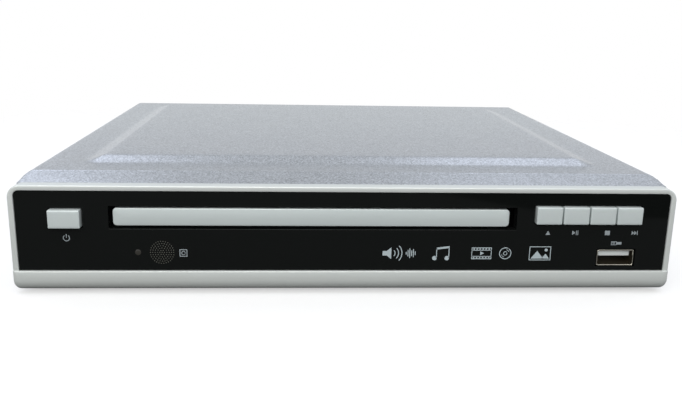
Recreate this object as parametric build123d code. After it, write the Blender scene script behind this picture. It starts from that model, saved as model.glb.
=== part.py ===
"""A small disc player with a motor-driven tray, as separate pieces.

Millimetres. X runs right, Z up, and Y from the front to the back. Each piece is drawn with Y
measured back from the face of the black window, and is moved at the end so that the origin is
the middle of the footprint, on the floor.
"""
from build123d import *
import os
from math import acos, atan2, cos, degrees, hypot, pi, radians, sin, tan

# Fits and allowances ----------------------------------------------------------------------------
slip = 0.1
running_gap = 0.3
shaft_play = 0.05
screw_play = 0.1
over = 1.0
bite = 0.1

# Stock ------------------------------------------------------------------------------------------
sheet = 0.8
board = 1.6
screw_head = 2.9
screw_head_thick = 1.6
screw_shank = 1.3
screw_grip = 5.0
board_screw_grip = 4.0
post_flats = 3.2

# Front moulding and window ----------------------------------------------------------------------
bezel_width = 225.0
bezel_height = 35.7
bezel_bottom = 2.0
rim_proud = 0.5
rim_depth = 4.0
rim_side = 1.9
rim_head = 1.75
rim_round = 0.9
rim_corner = 3.5
lip_height = 6.5
lip_proud = 1.0
lip_round = 4.4
lip_end_round = 2.2
lip_wall = 1.4
lip_hollow_side = 3.0
window_thickness = 2.0
window_corner = 1.9
window_slip = 0.05
under_flange = 1.1
flange_reach = 10.0
flange_inset = 5.5
side_flange = 1.6
hook_thick = 1.3
hook_gap = 0.3
hook_reach = 8.0
bezel_screw_x = 60.0
bezel_screw_back = 9.0
board_post = 5.2

# Steel cover ------------------------------------------------------------------------------------
cover_inset = 2.0
cover_step = 0.2
cover_crown = 2.0
cover_bend = 2.4
crease_back = 15.0
emboss_side = 16.1
emboss_front = 27.1
emboss_rear = 17.0
emboss_bevel = 6.3
emboss_rise = 2.2
emboss_corner = 6.0
emboss_soft = 1.6
emboss_sunk = 0.4
emboss_slack = 0.3
tab_half = 8.0
tab_drop = 9.5
tab_screw_drop = 5.3
tab_span = 76.0
vent_width = 2.2
vent_length = 13.0
vent_pitch = 5.6
vent_count = 14
vent_start = 62.0
vent_middle = 24.0
side_screw_back = 150.0
side_screw_rise = 3.8

# Base, rear panel and feet ----------------------------------------------------------------------
rear_bay = 33.3
chassis_slip = 0.2
chassis_flange = 11.8
floor_vent_start = 76.0
floor_vent_width = 3.0
floor_vent_pitch = 8.0
floor_vent_count = 9
supply_vent_length = 32.0
loader_vent_length = 96.0
panel_fold = 8.0
panel_screw_x = 86.0
panel_screw_inset = 5.5
panel_vent_width = 1.8
panel_vent_pitch = 3.4
panel_vent_count = 8
panel_vent_side = 7.5
panel_vent_low = 12.0
panel_vent_high = 28.0
foot_radius = 8.0
foot_taper = 0.8
foot_hollow = 4.0
foot_hollow_depth = 1.4
foot_side = 24.5
foot_front = 26.0
foot_rear = 23.3

# Front controls ---------------------------------------------------------------------------------
button_proud = 3.0
button_travel = 0.6
button_gap = 0.3
button_flange = 0.9
button_flange_thick = 1.2
button_seat_gap = 0.2
button_round = 0.45
button_stem = 2.6
power_width = 10.4
power_height = 6.2
power_shift = 1.125
power_drop = 11.1
key_width = 9.0
key_height = 5.9
key_pitch = 9.34
key_count = 4
keys_shift = -1.725
keys_drop = 9.35
switch_width = 6.0
switch_depth = 3.5
plunger_width = 3.5
plunger_depth = 0.7
front_board_back = 14.0
front_board_drop = 4.4
front_board_rise = 0.6
front_board_gap = 1.6
front_board_side_gap = 2.0
front_board_screw_rise = 6.0
front_board_screws_from_side = (24.5, 38.5)

# Data socket, sensor and lamp -------------------------------------------------------------------
usb_width = 13.1
usb_height = 5.72
usb_wall = 0.3
usb_corner = 0.6
usb_back = 0.3
usb_clearance = 0.4
usb_from_side = 19.2
usb_rise = 4.4
tongue_width = 11.1
tongue_thick = 1.84
tongue_drop = 0.55
tongue_back = 1.9
tongue_base = 2.15
sensor_from_side = 49.5
sensor_rise = 6.2
sensor_opening = 8.4
sensor_width = 6.0
sensor_height = 6.8
sensor_depth = 4.4
sensor_dome = 2.4
sensor_dome_height = 5.2
lamp_radius = 1.0
lamp_flange = 0.6
lamp_flange_length = 5.0
lamp_spacing = 8.0

# Disc tray --------------------------------------------------------------------------------------
tray_x = -12.0
tray_stroke = 130.0
tray_front = 3.6
disc_back = 68.0
disc_pocket = 60.7
disc_depth = 2.6
small_pocket = 40.7
small_depth = 1.0
small_skin = 1.0
tray_margin = 3.3
tray_skin = 1.2
tray_corner = 6.0
tray_lip = 1.6
tray_lip_side = 8.0
rail_width = 3.6
rail_height = 2.9
rail_rear_gap = 6.0
slot_half = 20.0
finger_notch = 5.0
finger_notch_inset = 3.0
rack_stand = 2.6
rack_spare = 3.0
rack_front = 6.0
rack_rear_lip = 0.6
door_margin = 2.95
door_height = 6.15
door_drop = 2.8
door_thick = 2.6
door_back = 0.6
door_corner = 1.3
door_chamfer = 0.3
door_clip_half = 4.0
door_clip_inset = 14.0
door_clip_edge = 0.6
mouth_margin = 1.9
mouth_height = 7.8
mouth_shift = 0.6
mouth_drop = 0.4

# Loader body ------------------------------------------------------------------------------------
loader_lift = 4.0
frame_front = 18.0
frame_wall = 3.0
frame_floor = 1.6
frame_side = 9.5
tray_side_gap = 0.5
tray_rear_gap = 3.0
ledge_height = 15.0
ledge_width = 6.5
guide_thick = 1.3
guide_reach = 2.1
guide_length = 12.0
guide_places = (21.0, 94.0, 150.0)
bay_half = 50.0
bay_rear_gap = 2.0
cell_count = 4
cell_length = 26.0
cell_rib = 2.0
cell_wall = 1.85
cell_start = 50.0
lug_size = 10.0
lug_thick = 2.4
lug_reach = 4.0
lug_front = 25.0
lug_rear = 6.0
ear_half = 46.0
ear_thick = 4.0
ear_height = 4.0
ear_front = 4.0

# Loading drive ----------------------------------------------------------------------------------
gear_module = 0.8
pressure_angle = 20.0
tooth_addendum = 0.8
tooth_dedendum = 1.2
tooth_play = 0.16
drive_teeth = 18
drive_face = 1.8
drive_lift = 0.1
wheel_teeth = 28
wheel_thick = 2.6
wheel_gap = 1.4
wheel_room = 1.5
pinion_teeth = 12
pinion_spare = 0.6
mesh_bearing = -4.0
drive_back = 32.4
post_radius = 1.5
post_collar = 1.4
post_spare = 0.6
pulley_radius = 9.5
pulley_thick = 3.0
pulley_lift = 2.4
motor_pulley_radius = 4.0
belt_thick = 1.2
belt_seat = 0.05
groove_play = 0.15
groove_depth = 1.2
motor_x = 6.0
motor_back = 32.0
motor_radius = 10.5
motor_height = 6.6
motor_lift = 0.8
motor_shaft = 1.0
motor_ear = 4.5
motor_ear_thick = 0.9

# Clamp ------------------------------------------------------------------------------------------
bridge_half = 21.0
bridge_thick = 1.2
bridge_rib = 3.0
bridge_inset = 2.0
bridge_rib_inset = 12.0
bridge_window = 9.0
bridge_window_half = 8.0
bridge_window_x = 42.0
bridge_screw_inset = 5.5
bridge_screw_back = 15.0
bridge_screw_depth = 6.0
puck_radius = 15.0
puck_room = 0.6
puck_flange = 3.0
puck_flange_thick = 1.5
puck_drop = 0.4
puck_crown = 8.25
puck_crown_thick = 1.5
puck_hollow = 8.7
puck_hollow_gap = 1.2

# Lifting mechanism ------------------------------------------------------------------------------
cam_travel = 12.0
cam_thick = 2.6
cam_half = 34.0
cam_rise = 3.2
cam_gap = 4.7
cam_slot_play = 0.25
cam_arm_x = 11.0
cam_arm_width = 6.0
cam_arm_reach = 3.5
cam_arm_height = 3.0
cam_guide_x = 30.0
cam_guide_half = 4.0
cam_guide_thick = 1.5
cam_guide_height = 4.0
traverse_drop = 5.5
traverse_thick = 1.4
traverse_left = 33.0
traverse_right = 44.0
traverse_gap = 3.4
traverse_rear = 2.5
cam_pin_radius = 1.4
cam_pin_tip = 0.6
cam_pin_bite = 0.6
pivot_height = 9.3
pivot_reach = 86.0
pivot_pin_tip = 1.6
pivot_pin_root = 30.0
sled_window = 18.6

# Spindle ----------------------------------------------------------------------------------------
turntable_radius = 13.5
turntable_thick = 1.3
rotor_radius = 12.5
rotor_wall = 1.0
rotor_gap = 1.6
rotor_drop = 2.2
seat_rise = 1.2
cone_rise = 1.8
cone_low = 7.4
cone_high = 6.0
hub_radius = 6.0
spindle_radius = 1.0
spindle_foot = 0.65
bearing_radius = 3.2
bearing_reach = 1.0
stator_gap = 1.4
stator_thick = 3.0
stator_base = 1.0

# Pickup and its drive ---------------------------------------------------------------------------
rod_half = 22.0
rod_radius = 1.5
rod_lift = 2.4
rod_seat_play = 0.02
rod_front = 14.0
rod_rear = 3.0
rod_block_half = 2.5
rod_block_length = 4.0
rod_block_rise = 2.6
pickup_front = 1.2
pickup_length = 23.0
pickup_half = 17.0
pickup_low = 2.0
pickup_bearing = 2.8
pickup_bearing_half = 2.0
pickup_chamfer = 2.0
pickup_travel = 35.0
lens_start = 23.0
lens_half = 6.4
lens_side = 8.5
lens_rise = 3.4
lens_well = 1.8
lens_holder = 3.5
lens_holder_height = 2.55
lens_radius = 2.6
lens_low = 2.4
lens_high = 1.5
lens_dome = 0.9
lens_seat = 0.6
feed_module = 0.5
feed_small_teeth = 16
feed_small_face = 2.1
feed_big_teeth = 28
feed_big_face = 1.4
feed_pinion_teeth = 10
feed_pinion_face = 1.8
feed_back = 44.0
feed_lift = 0.4
feed_post = 1.0
feed_rack_stand = 6.4
feed_rack_spare = 4.0
feed_rack_low = 1.6
feed_rack_high = 1.4
feed_motor_radius = 8.0
feed_motor_height = 7.6
feed_shaft = 0.8
feed_shaft_length = 4.0

# Boards -----------------------------------------------------------------------------------------
standoff_height = 5.0
standoff_floor = 1.0
main_from_side = 9.5
main_gap = 2.5
main_rear_gap = 1.5
supply_gap = 4.5
supply_from_side = 3.5
supply_front = 58.0
supply_rear = 12.0
screw_inset = 5.0
main_screw_x = -3.0
main_screw_rear = 13.0
chip_sizes = ((15.5, 8.5, 15.0, 14.0, 1.6), (42.0, 8.5, 16.0, 10.0, 1.2), (-80.0, 10.5, 12.0, 10.0, 1.4))
can_places = (-60.0, -48.0, -36.0, -10.0)
can_radius = 3.2
can_height = 9.0
can_back = 5.5
ribbon_x = -80.0
ribbon_width = 12.0
ribbon_thick = 0.4
ribbon_top = 12.0
ribbon_gap = 0.9
ribbon_low = 0.5
ribbon_bend = 2.0
ribbon_rear_gap = 1.3
ribbon_lap = 5.0

# Power supply -----------------------------------------------------------------------------------
core_half = 11.0
core_start = 86.0
core_length = 22.0
core_height = 17.0
core_limb = 3.0
winding_play = 0.2
winding_reach = 1.0
big_can_radius = 8.0
big_can_height = 21.0
big_can_x = 6.0
big_can_back = 128.0
small_can_radius = 4.0
small_can_height = 13.0
small_can_x = -11.0
small_can_back = 118.0
small_can_pitch = 10.0
small_can_count = 3
sink_x = -1.0
sink_half = 14.0
sink_back = 66.0
sink_thick = 2.0
sink_height = 19.0
sink_fin = 1.2
sink_fin_reach = 6.0
sink_fin_pitch = 6.0
sink_fin_count = 5
sink_fin_lift = 3.0
fuse_radius = 2.5
fuse_length = 14.0
fuse_back = 148.0
fuse_lift = 4.0
clip_half = 2.0
clip_reach = 3.0
clip_spread = 7.0

# Rear sockets -----------------------------------------------------------------------------------
jack_reach = 8.4
jack_radius = 4.15
jack_root = 0.3
jack_wall = 0.5
jack_bore = 1.6
jack_bore_depth = 3.0
jack_tip_step = 0.6
jack_depth = 6.0
jack_pitch = 14.0
jack_count = 3
jack_from_right = 29.0
jack_z = 16.8
jack_collar = 5.0
jack_collar_proud = 0.9
jack_block_depth = 13.0
jack_block_rise = 11.0
jack_block_chamfer = 1.2
jack_screw_rise = 7.6
scart_x = -41.0
scart_z = 19.0
scart_width = 47.0
scart_height = 15.4
scart_slant = 5.0
scart_depth = 17.0
scart_proud = 1.4
scart_wall = 1.4
scart_back_wall = 3.0
scart_ear = 8.0
scart_ear_thick = 2.0
scart_ear_inset = 1.5
scart_screw = 4.0
contact_width = 36.0
contact_height = 6.4
contact_recess = 1.6
contact_corner = 0.8
contact_count = 10
contact_pitch = 3.5
contact_row = 1.7
contact_stagger = 0.4
contact_slot_width = 1.5
contact_slot_height = 1.3
contact_slot_depth = 7.0
inlet_from_side = 21.5
inlet_z = 17.0
inlet_depth = 15.0
inlet_proud = 1.2
inlet_lobe = 4.3
inlet_spacing = 8.6
inlet_rim = 2.0
inlet_back_wall = 2.5
inlet_flange = 4.0
inlet_flange_thick = 1.8
inlet_pin = 1.2
inlet_pin_recess = 3.0
inlet_pin_tail = 2.0
lead_radius = 1.0
lead_run = 6.0
lead_spread = 4.0
lead_end = 4.0
lead_drop = 5.0
lead_bend = 1.6

# Places that follow from those sizes ------------------------------------------------------------
half_width = bezel_width / 2
bezel_top = bezel_bottom + bezel_height
window_low = bezel_bottom + lip_height
window_high = bezel_top - rim_head
window_half = half_width - rim_side
cover_half = half_width - cover_inset
cover_start = rim_depth + slip
cover_front_top = bezel_top - cover_step
cover_top = bezel_top + cover_crown
plate_bottom = bezel_bottom + under_flange + slip
plate_top = plate_bottom + sheet
chassis_half = cover_half - sheet - chassis_slip
flange_half = chassis_half - flange_inset
shank_hole = screw_shank + screw_play
tab_screw_z = cover_top - tab_screw_drop
side_screw_z = plate_bottom + side_screw_rise

frame_bottom = plate_top + loader_lift
floor_top = frame_bottom + frame_floor
ledge = frame_bottom + ledge_height
tray_bottom = ledge + running_gap
tray_under = tray_bottom + rail_height
tray_floor = tray_under + tray_skin
tray_top = tray_floor + disc_depth
small_floor = tray_floor - small_depth
frame_top = tray_top + running_gap + guide_thick
bridge_top = frame_top + bridge_thick
tray_half = disc_pocket + tray_margin
frame_half = tray_half + tray_side_gap + frame_side
lower_half = tray_half - ledge_width
rack_rear = drive_back + tray_stroke + rack_spare
tray_rear = rack_rear + rack_rear_lip
frame_rear = tray_rear + tray_rear_gap + frame_wall
frame_right = tray_x + frame_half
door_width = 2 * (tray_half + door_margin)
door_z = tray_top - door_drop
mouth_width = door_width + 2 * mouth_margin
mouth_x = tray_x + mouth_shift
mouth_z = door_z - mouth_drop

body_depth = frame_rear + rear_bay
panel_front = body_depth - sheet
cover_rear = body_depth + sheet
foot_x = half_width - foot_side
panel_screw_back = panel_front - panel_screw_inset

drive_radius = gear_module * drive_teeth / 2
wheel_radius = gear_module * wheel_teeth / 2
pinion_radius = gear_module * pinion_teeth / 2
pitch_line = tray_half - rail_width - rack_stand
drive_at = (tray_x - pitch_line + drive_radius, drive_back)
pinion_at = (
    drive_at[0] + (wheel_radius + pinion_radius) * cos(radians(mesh_bearing)),
    drive_at[1] + (wheel_radius + pinion_radius) * sin(radians(mesh_bearing)),
)
motor_at = (tray_x + motor_x, motor_back)
motor_bottom = plate_top + motor_lift
motor_top = motor_bottom + motor_height
pulley_low = floor_top + pulley_lift
belt_z = pulley_low + pulley_thick / 2
wheel_low = pulley_low + pulley_thick + wheel_gap
pinion_top = wheel_low + wheel_thick + pinion_spare
drive_low = tray_bottom + drive_lift
drive_top = drive_low + drive_face

pivot_z = frame_bottom + pivot_height
pivot_back = disc_back + pivot_reach
plate_low = pivot_z - traverse_thick / 2
plate_high = plate_low + traverse_thick
cam_back = motor_back + motor_radius + cam_gap
traverse_front = cam_back + cam_thick + traverse_gap
seat_z = tray_floor + seat_rise
rod_z = plate_high + rod_lift
rods_from = disc_back + rod_front
rods_to = pivot_back - rod_rear
sled_front = rods_from + pickup_front
sled_rear = sled_front + pickup_length
sled_top = rod_z + pickup_bearing_half
lens_back = disc_back + lens_start
feed_low = plate_high + feed_lift
feed_small_radius = feed_module * feed_small_teeth / 2
feed_big_radius = feed_module * feed_big_teeth / 2
feed_pinion_radius = feed_module * feed_pinion_teeth / 2
feed_line = tray_x + rod_half + feed_rack_stand
feed_at = (feed_line + feed_small_radius, disc_back + feed_back)
feed_motor_at = (feed_at[0], feed_at[1] - feed_big_radius - feed_pinion_radius)

board_low = plate_top + standoff_height
board_top = board_low + board
main_x = (-chassis_half + main_from_side, frame_right)
main_y = (frame_rear + main_gap, panel_front - main_rear_gap)
supply_x = (frame_right + supply_gap, chassis_half - supply_from_side)
supply_y = (supply_front, frame_rear - supply_rear)
supply_middle = (supply_x[0] + supply_x[1]) / 2
jack_x = main_x[1] - jack_from_right
jack_screw = (jack_x + jack_pitch / 2, jack_z + jack_screw_rise)
jack_tip = body_depth + jack_reach
inlet_x = chassis_half - inlet_from_side
scart_screw_x = scart_width / 2 + scart_screw

power_at = ((mouth_x - mouth_width / 2 - window_half) / 2 + power_shift, bezel_top - power_drop)
keys_at = ((mouth_x + mouth_width / 2 + window_half) / 2 + keys_shift, bezel_top - keys_drop)
usb_at = (half_width - usb_from_side, window_low + usb_rise)
sensor_at = (-half_width + sensor_from_side, window_low + sensor_rise)
lamp_at = (sensor_at[0] - lamp_spacing, sensor_at[1])
front_shift = -(jack_tip - button_proud) / 2


# Drawing helpers --------------------------------------------------------------------------------
def block(x, y, z):
    """A box between two limits on each axis, each given as (low, high)."""
    size = (x[1] - x[0], y[1] - y[0], z[1] - z[0])
    return Pos((x[0] + x[1]) / 2, (y[0] + y[1]) / 2, (z[0] + z[1]) / 2) * Box(*size)


def about(middle, half):
    """The (low, high) pair that lies half to each side of a middle."""
    return (middle - half, middle + half)


def between(one, other):
    """Two limits in rising order."""
    return (min(one, other), max(one, other))


def upright(at, z, radius):
    """A cylinder standing on the point at, which is (x, y), between two heights."""
    return Pos(*at, (z[0] + z[1]) / 2) * Cylinder(radius, z[1] - z[0])


def endways(at, y, radius):
    """A cylinder along Y between two depths, round the point at, which is (x, z)."""
    return Pos(at[0], (y[0] + y[1]) / 2, at[1]) * Rot(90, 0, 0) * Cylinder(radius, y[1] - y[0])


def sideways(at, x, radius):
    """A cylinder along X between two sides, round the point at, which is (y, z)."""
    return Pos((x[0] + x[1]) / 2, *at) * Rot(0, 90, 0) * Cylinder(radius, x[1] - x[0])


def front_prism(sketch, y):
    """A sketch drawn in (x, z), as deep as the (low, high) pair y."""
    return extrude(Plane((0, y[1], 0), x_dir=(1, 0, 0), z_dir=(0, -1, 0)) * sketch, y[1] - y[0])


def side_prism(sketch, x):
    """A sketch drawn in (y, z), as wide as the (low, high) pair x."""
    return extrude(Plane((x[0], 0, 0), x_dir=(0, 1, 0), z_dir=(1, 0, 0)) * sketch, x[1] - x[0])


def top_prism(sketch, z):
    """A sketch drawn in (x, y), as tall as the (low, high) pair z."""
    return extrude(Plane((0, 0, z[0])) * sketch, z[1] - z[0])


def outline(*points):
    """A flat face inside straight lines through the points."""
    return make_face(Polyline(*points, close=True))


def edges_at(shape, axis, place):
    """The edges whose middle lies at one place on an axis, named x, y or z."""
    index = "xyz".index(axis)
    return [e for e in shape.edges() if abs(tuple(e.center())[index] - place) < slip / 10]


def past(y):
    """The pair y, reaching past both of its ends, for a cut."""
    return (y[0] - over, y[1] + over)


def spread(count, pitch):
    """Evenly spaced offsets about zero."""
    return [(n - (count - 1) / 2) * pitch for n in range(count)]


pieces = {}


def keep(name, *solids):
    """Stores a piece, or a group of equal pieces, under the name of its node."""
    pieces[name] = list(solids)


# Gear teeth -------------------------------------------------------------------------------------
def involute(angle):
    """The involute function of an angle in radians."""
    return tan(angle) - angle


def gear_face(teeth, module, bearing):
    """A spur gear's outline with involute flanks, one tooth pointing along a bearing in degrees."""
    pitch = module * teeth / 2
    base = pitch * cos(radians(pressure_angle))
    root = pitch - tooth_dedendum * module
    tip = pitch + tooth_addendum * module
    half_at_pitch = (pi * module / 2 - tooth_play) / 2 / pitch
    flank = []
    for radius in (max(root, base), pitch, tip):
        roll = acos(min(1.0, base / radius))
        flank.append((radius, half_at_pitch + involute(radians(pressure_angle)) - involute(roll)))
    flank[0] = (root, flank[0][1])
    points = []
    for tooth in range(teeth):
        middle = radians(bearing) + 2 * pi * tooth / teeth
        points += [(r * cos(middle - half), r * sin(middle - half)) for r, half in flank]
        points += [(r * cos(middle + half), r * sin(middle + half)) for r, half in reversed(flank)]
    return outline(*points)


def rack_face(module, y, line, back, gap_at):
    """A rack along Y whose teeth point to +X from a pitch line, with a gap centred at gap_at."""
    pitch = pi * module
    tip = line + tooth_addendum * module
    root = line - tooth_dedendum * module
    slope = tan(radians(pressure_angle))
    half = (pitch / 2 - tooth_play) / 2
    half_root = half + tooth_dedendum * module * slope
    half_tip = half - tooth_addendum * module * slope
    points = [(back, y[0]), (root, y[0])]
    middle = gap_at - pitch / 2 - pitch * int((gap_at - y[0]) / pitch)
    while middle + half_root < y[1]:
        if middle - half_root > y[0]:
            points += [
                (root, middle - half_root),
                (tip, middle - half_tip),
                (tip, middle + half_tip),
                (root, middle + half_root),
            ]
        middle += pitch
    points += [(root, y[1]), (back, y[1])]
    return outline(*points)


# Screws -----------------------------------------------------------------------------------------
def screw(place, axis, grip):
    """A hexagon-head screw whose head sits on place and whose shank runs grip against the axis."""
    head = extrude(RegularPolygon(screw_head, 6), screw_head_thick)
    shank = extrude(RegularPolygon(screw_shank, 6), -grip)
    return Plane(place, z_dir=axis) * (head + shank)


def lug_places():
    """Where the loader is screwed to the base, as (x, y)."""
    return [
        (tray_x + side * (frame_half + lug_reach), y)
        for side in (-1, 1)
        for y in (frame_front + lug_front, frame_rear - lug_rear)
    ]


def bridge_screw_places():
    """Where the clamp's bridge is screwed to the loader, as (x, y)."""
    reach = frame_half - bridge_screw_inset
    return [(tray_x + side * reach, disc_back + side * bridge_screw_back) for side in (-1, 1)]


def main_screw_places():
    """Where the main board is screwed down, as (x, y)."""
    front = main_y[0] + screw_inset
    return [
        (main_x[0] + screw_inset, front),
        (main_screw_x, main_y[1] - main_screw_rear),
        (main_x[1] - screw_inset, front),
    ]


def supply_screw_places():
    """Where the power board is screwed down, as (x, y)."""
    rear = supply_y[1] - screw_inset
    return [
        (supply_x[0] + screw_inset, supply_y[0] + screw_inset),
        (supply_x[1] - screw_inset, rear),
        (supply_x[0] + screw_inset, rear),
    ]


def front_screw_places():
    """Where the front board is screwed to the moulding, as (x, z)."""
    left, right = front_board_screws_from_side
    height = plate_top + front_board_screw_rise
    return [(-half_width + left, height), (half_width - right, height)]


def socket_screw_places():
    """Where screws hold the sockets to the rear panel, as (x, z)."""
    return [(scart_x - scart_screw_x, scart_z), (scart_x + scart_screw_x, scart_z), jack_screw]


# Housing pieces ---------------------------------------------------------------------------------
def embossed_panel(drop, shrink):
    """The raised middle of the cover, as a solid whose sides slope up to a flat top."""
    half = cover_half - emboss_side - shrink
    front = emboss_front + shrink
    rear = cover_rear - emboss_rear - shrink
    length = rear - front
    base = cover_top - drop
    grow = emboss_sunk * emboss_bevel / emboss_rise
    foot = RectangleRounded(2 * (half + grow), length + 2 * grow, emboss_corner + grow / 2)
    top = RectangleRounded(
        2 * (half - emboss_bevel), length - 2 * emboss_bevel, emboss_corner / 2
    )
    at = (front + rear) / 2
    return loft([Pos(0, at, base - emboss_sunk) * foot, Pos(0, at, base + emboss_rise) * top])


def cover_body(drop, half, rear, low):
    """The cover's outer or inner form: a slope up from the bezel, a level top and bent sides."""
    section = outline(
        (cover_start, low),
        (cover_start, cover_front_top - drop),
        (crease_back, cover_top - drop),
        (rear, cover_top - drop),
        (rear, low),
    )
    body = side_prism(section, (-half, half))
    bends = [
        e for e in edges_at(body, "x", -half) + edges_at(body, "x", half)
        if e.center().Z > (low + cover_top) / 2 and e.length > cover_bend
    ]
    top_bends = [e for e in bends if abs(e.tangent_at(0).Z) < abs(e.tangent_at(0).Y)]
    return fillet(top_bends, cover_bend - drop)


def top_cover():
    """The folded steel cover: raised panel, front slope, side vents, and screw tabs behind."""
    outer = cover_body(0, cover_half, cover_rear, plate_bottom)
    raised = embossed_panel(0, 0)
    raised = fillet(edges_at(raised, "z", cover_top + emboss_rise), emboss_soft)
    inner = cover_body(sheet, cover_half - sheet, cover_rear + over, plate_bottom - over)
    shell = outer + raised - inner - embossed_panel(sheet, emboss_slack)
    behind = (body_depth, cover_rear)
    shell -= block(about(0, half_width), (body_depth, cover_rear + over), (0, cover_top - sheet))
    holes = []
    for side in (-1, 1):
        at = (side * tab_span, tab_screw_z)
        shell += block(about(at[0], tab_half), behind, (cover_top - tab_drop, cover_top - sheet / 2))
        holes.append(endways(at, past(behind), shank_hole))
        wall = between(side * (cover_half - sheet), side * cover_half)
        holes.append(sideways((side_screw_back, side_screw_z), past(wall), shank_hole))
    for n in range(vent_count):
        y = about(vent_start + n * vent_pitch, vent_width / 2)
        holes.append(block(about(0, half_width), y, about(vent_middle, vent_length / 2)))
    return shell - holes


def chassis():
    """The steel base pan: side flanges, screw holes and vent slots."""
    y = (cover_start, panel_front)
    plate = (plate_bottom, plate_top)
    pan = block(about(0, chassis_half), y, plate)
    cuts = []
    for side in (-1, 1):
        wall = between(side * (chassis_half - sheet), side * chassis_half)
        pan += block(wall, y, (plate_bottom, plate_bottom + chassis_flange))
        cuts.append(sideways((side_screw_back, side_screw_z), past(wall), shank_hole))
        cuts.append(upright((side * bezel_screw_x, bezel_screw_back), past(plate), shank_hole))
        cuts.append(upright((side * panel_screw_x, panel_screw_back), past(plate), shank_hole))
    for n in range(floor_vent_count):
        slot = about(floor_vent_start + n * floor_vent_pitch, floor_vent_width / 2)
        cuts.append(block(about(supply_middle, supply_vent_length / 2), slot, past(plate)))
        cuts.append(block(about(tray_x, loader_vent_length / 2), slot, past(plate)))
    return pan - cuts


def scart_outline(grow):
    """The wide socket's front view, with its slanted corner, grown by a margin."""
    w = scart_width / 2 + grow
    h = scart_height / 2 + grow
    return Pos(scart_x, scart_z) * outline(
        (-w, -h), (w - scart_slant, -h), (w, -h + scart_slant), (w, h), (-w, h)
    )


def inlet_outline(grow):
    """The two-lobed inlet's front view, grown by a margin."""
    lobe = inlet_lobe + grow
    return Pos(inlet_x, inlet_z) * SlotOverall(inlet_spacing + 2 * lobe, 2 * lobe)


def rear_panel():
    """The steel rear panel, folded top and bottom, with vents and openings for the sockets."""
    wall = (panel_front, body_depth)
    fold = (panel_front - panel_fold, panel_front)
    top = cover_top - sheet - slip
    low_fold = (plate_top, plate_top + sheet)
    panel = block(about(0, chassis_half - sheet - slip), wall, (plate_top, top))
    panel += block(about(0, flange_half), fold, low_fold)
    panel += block(about(0, flange_half), fold, (top - sheet, top))
    through = past(wall)
    cuts = [
        front_prism(scart_outline(screw_play), through),
        front_prism(inlet_outline(inlet_rim + screw_play), through),
    ]
    for x in spread(jack_count, jack_pitch):
        cuts.append(endways((jack_x + x, jack_z), through, jack_collar + screw_play))
    for side in (-1, 1):
        cuts.append(upright((side * panel_screw_x, panel_screw_back), past(low_fold), shank_hole))
        cuts.append(endways((side * tab_span, tab_screw_z), through, shank_hole))
    for at in socket_screw_places():
        cuts.append(endways(at, through, shank_hole))
    for n in range(panel_vent_count):
        x = -chassis_half + panel_vent_side + n * panel_vent_pitch
        cuts.append(block((x, x + panel_vent_width), through, (panel_vent_low, panel_vent_high)))
    return panel - cuts


def button_places():
    """Each button's name, middle and size, as (name, (x, z), width, height)."""
    places = [("power_button", power_at, power_width, power_height)]
    names = ("eject_button", "play_button", "stop_button", "skip_button")
    for name, x in zip(names, spread(key_count, key_pitch)):
        places.append((name, (keys_at[0] + x, keys_at[1]), key_width, key_height))
    return places


def front_openings(y):
    """The openings of the tray, the power button, the row of keys and the data socket."""
    keys_width = (key_count - 1) * key_pitch + key_width
    gap = 2 * button_gap
    around = 2 * usb_clearance
    openings = [
        Pos(mouth_x, mouth_z) * Rectangle(mouth_width, mouth_height),
        Pos(*power_at) * Rectangle(power_width + gap, power_height + gap),
        Pos(*keys_at) * Rectangle(keys_width + gap, key_height + gap),
        Pos(*usb_at) * Rectangle(usb_width + around, usb_height + around),
    ]
    cuts = [front_prism(opening, y) for opening in openings]
    return cuts + [endways(lamp_at, y, lamp_radius + screw_play)]


def rounded_top(half, low, high, radius):
    """A rectangle from low to high whose upper corners are round."""
    face = Pos(0, (low + high) / 2) * Rectangle(2 * half, high - low)
    return fillet([v for v in face.vertices() if v.Y > (low + high) / 2], radius)


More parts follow.
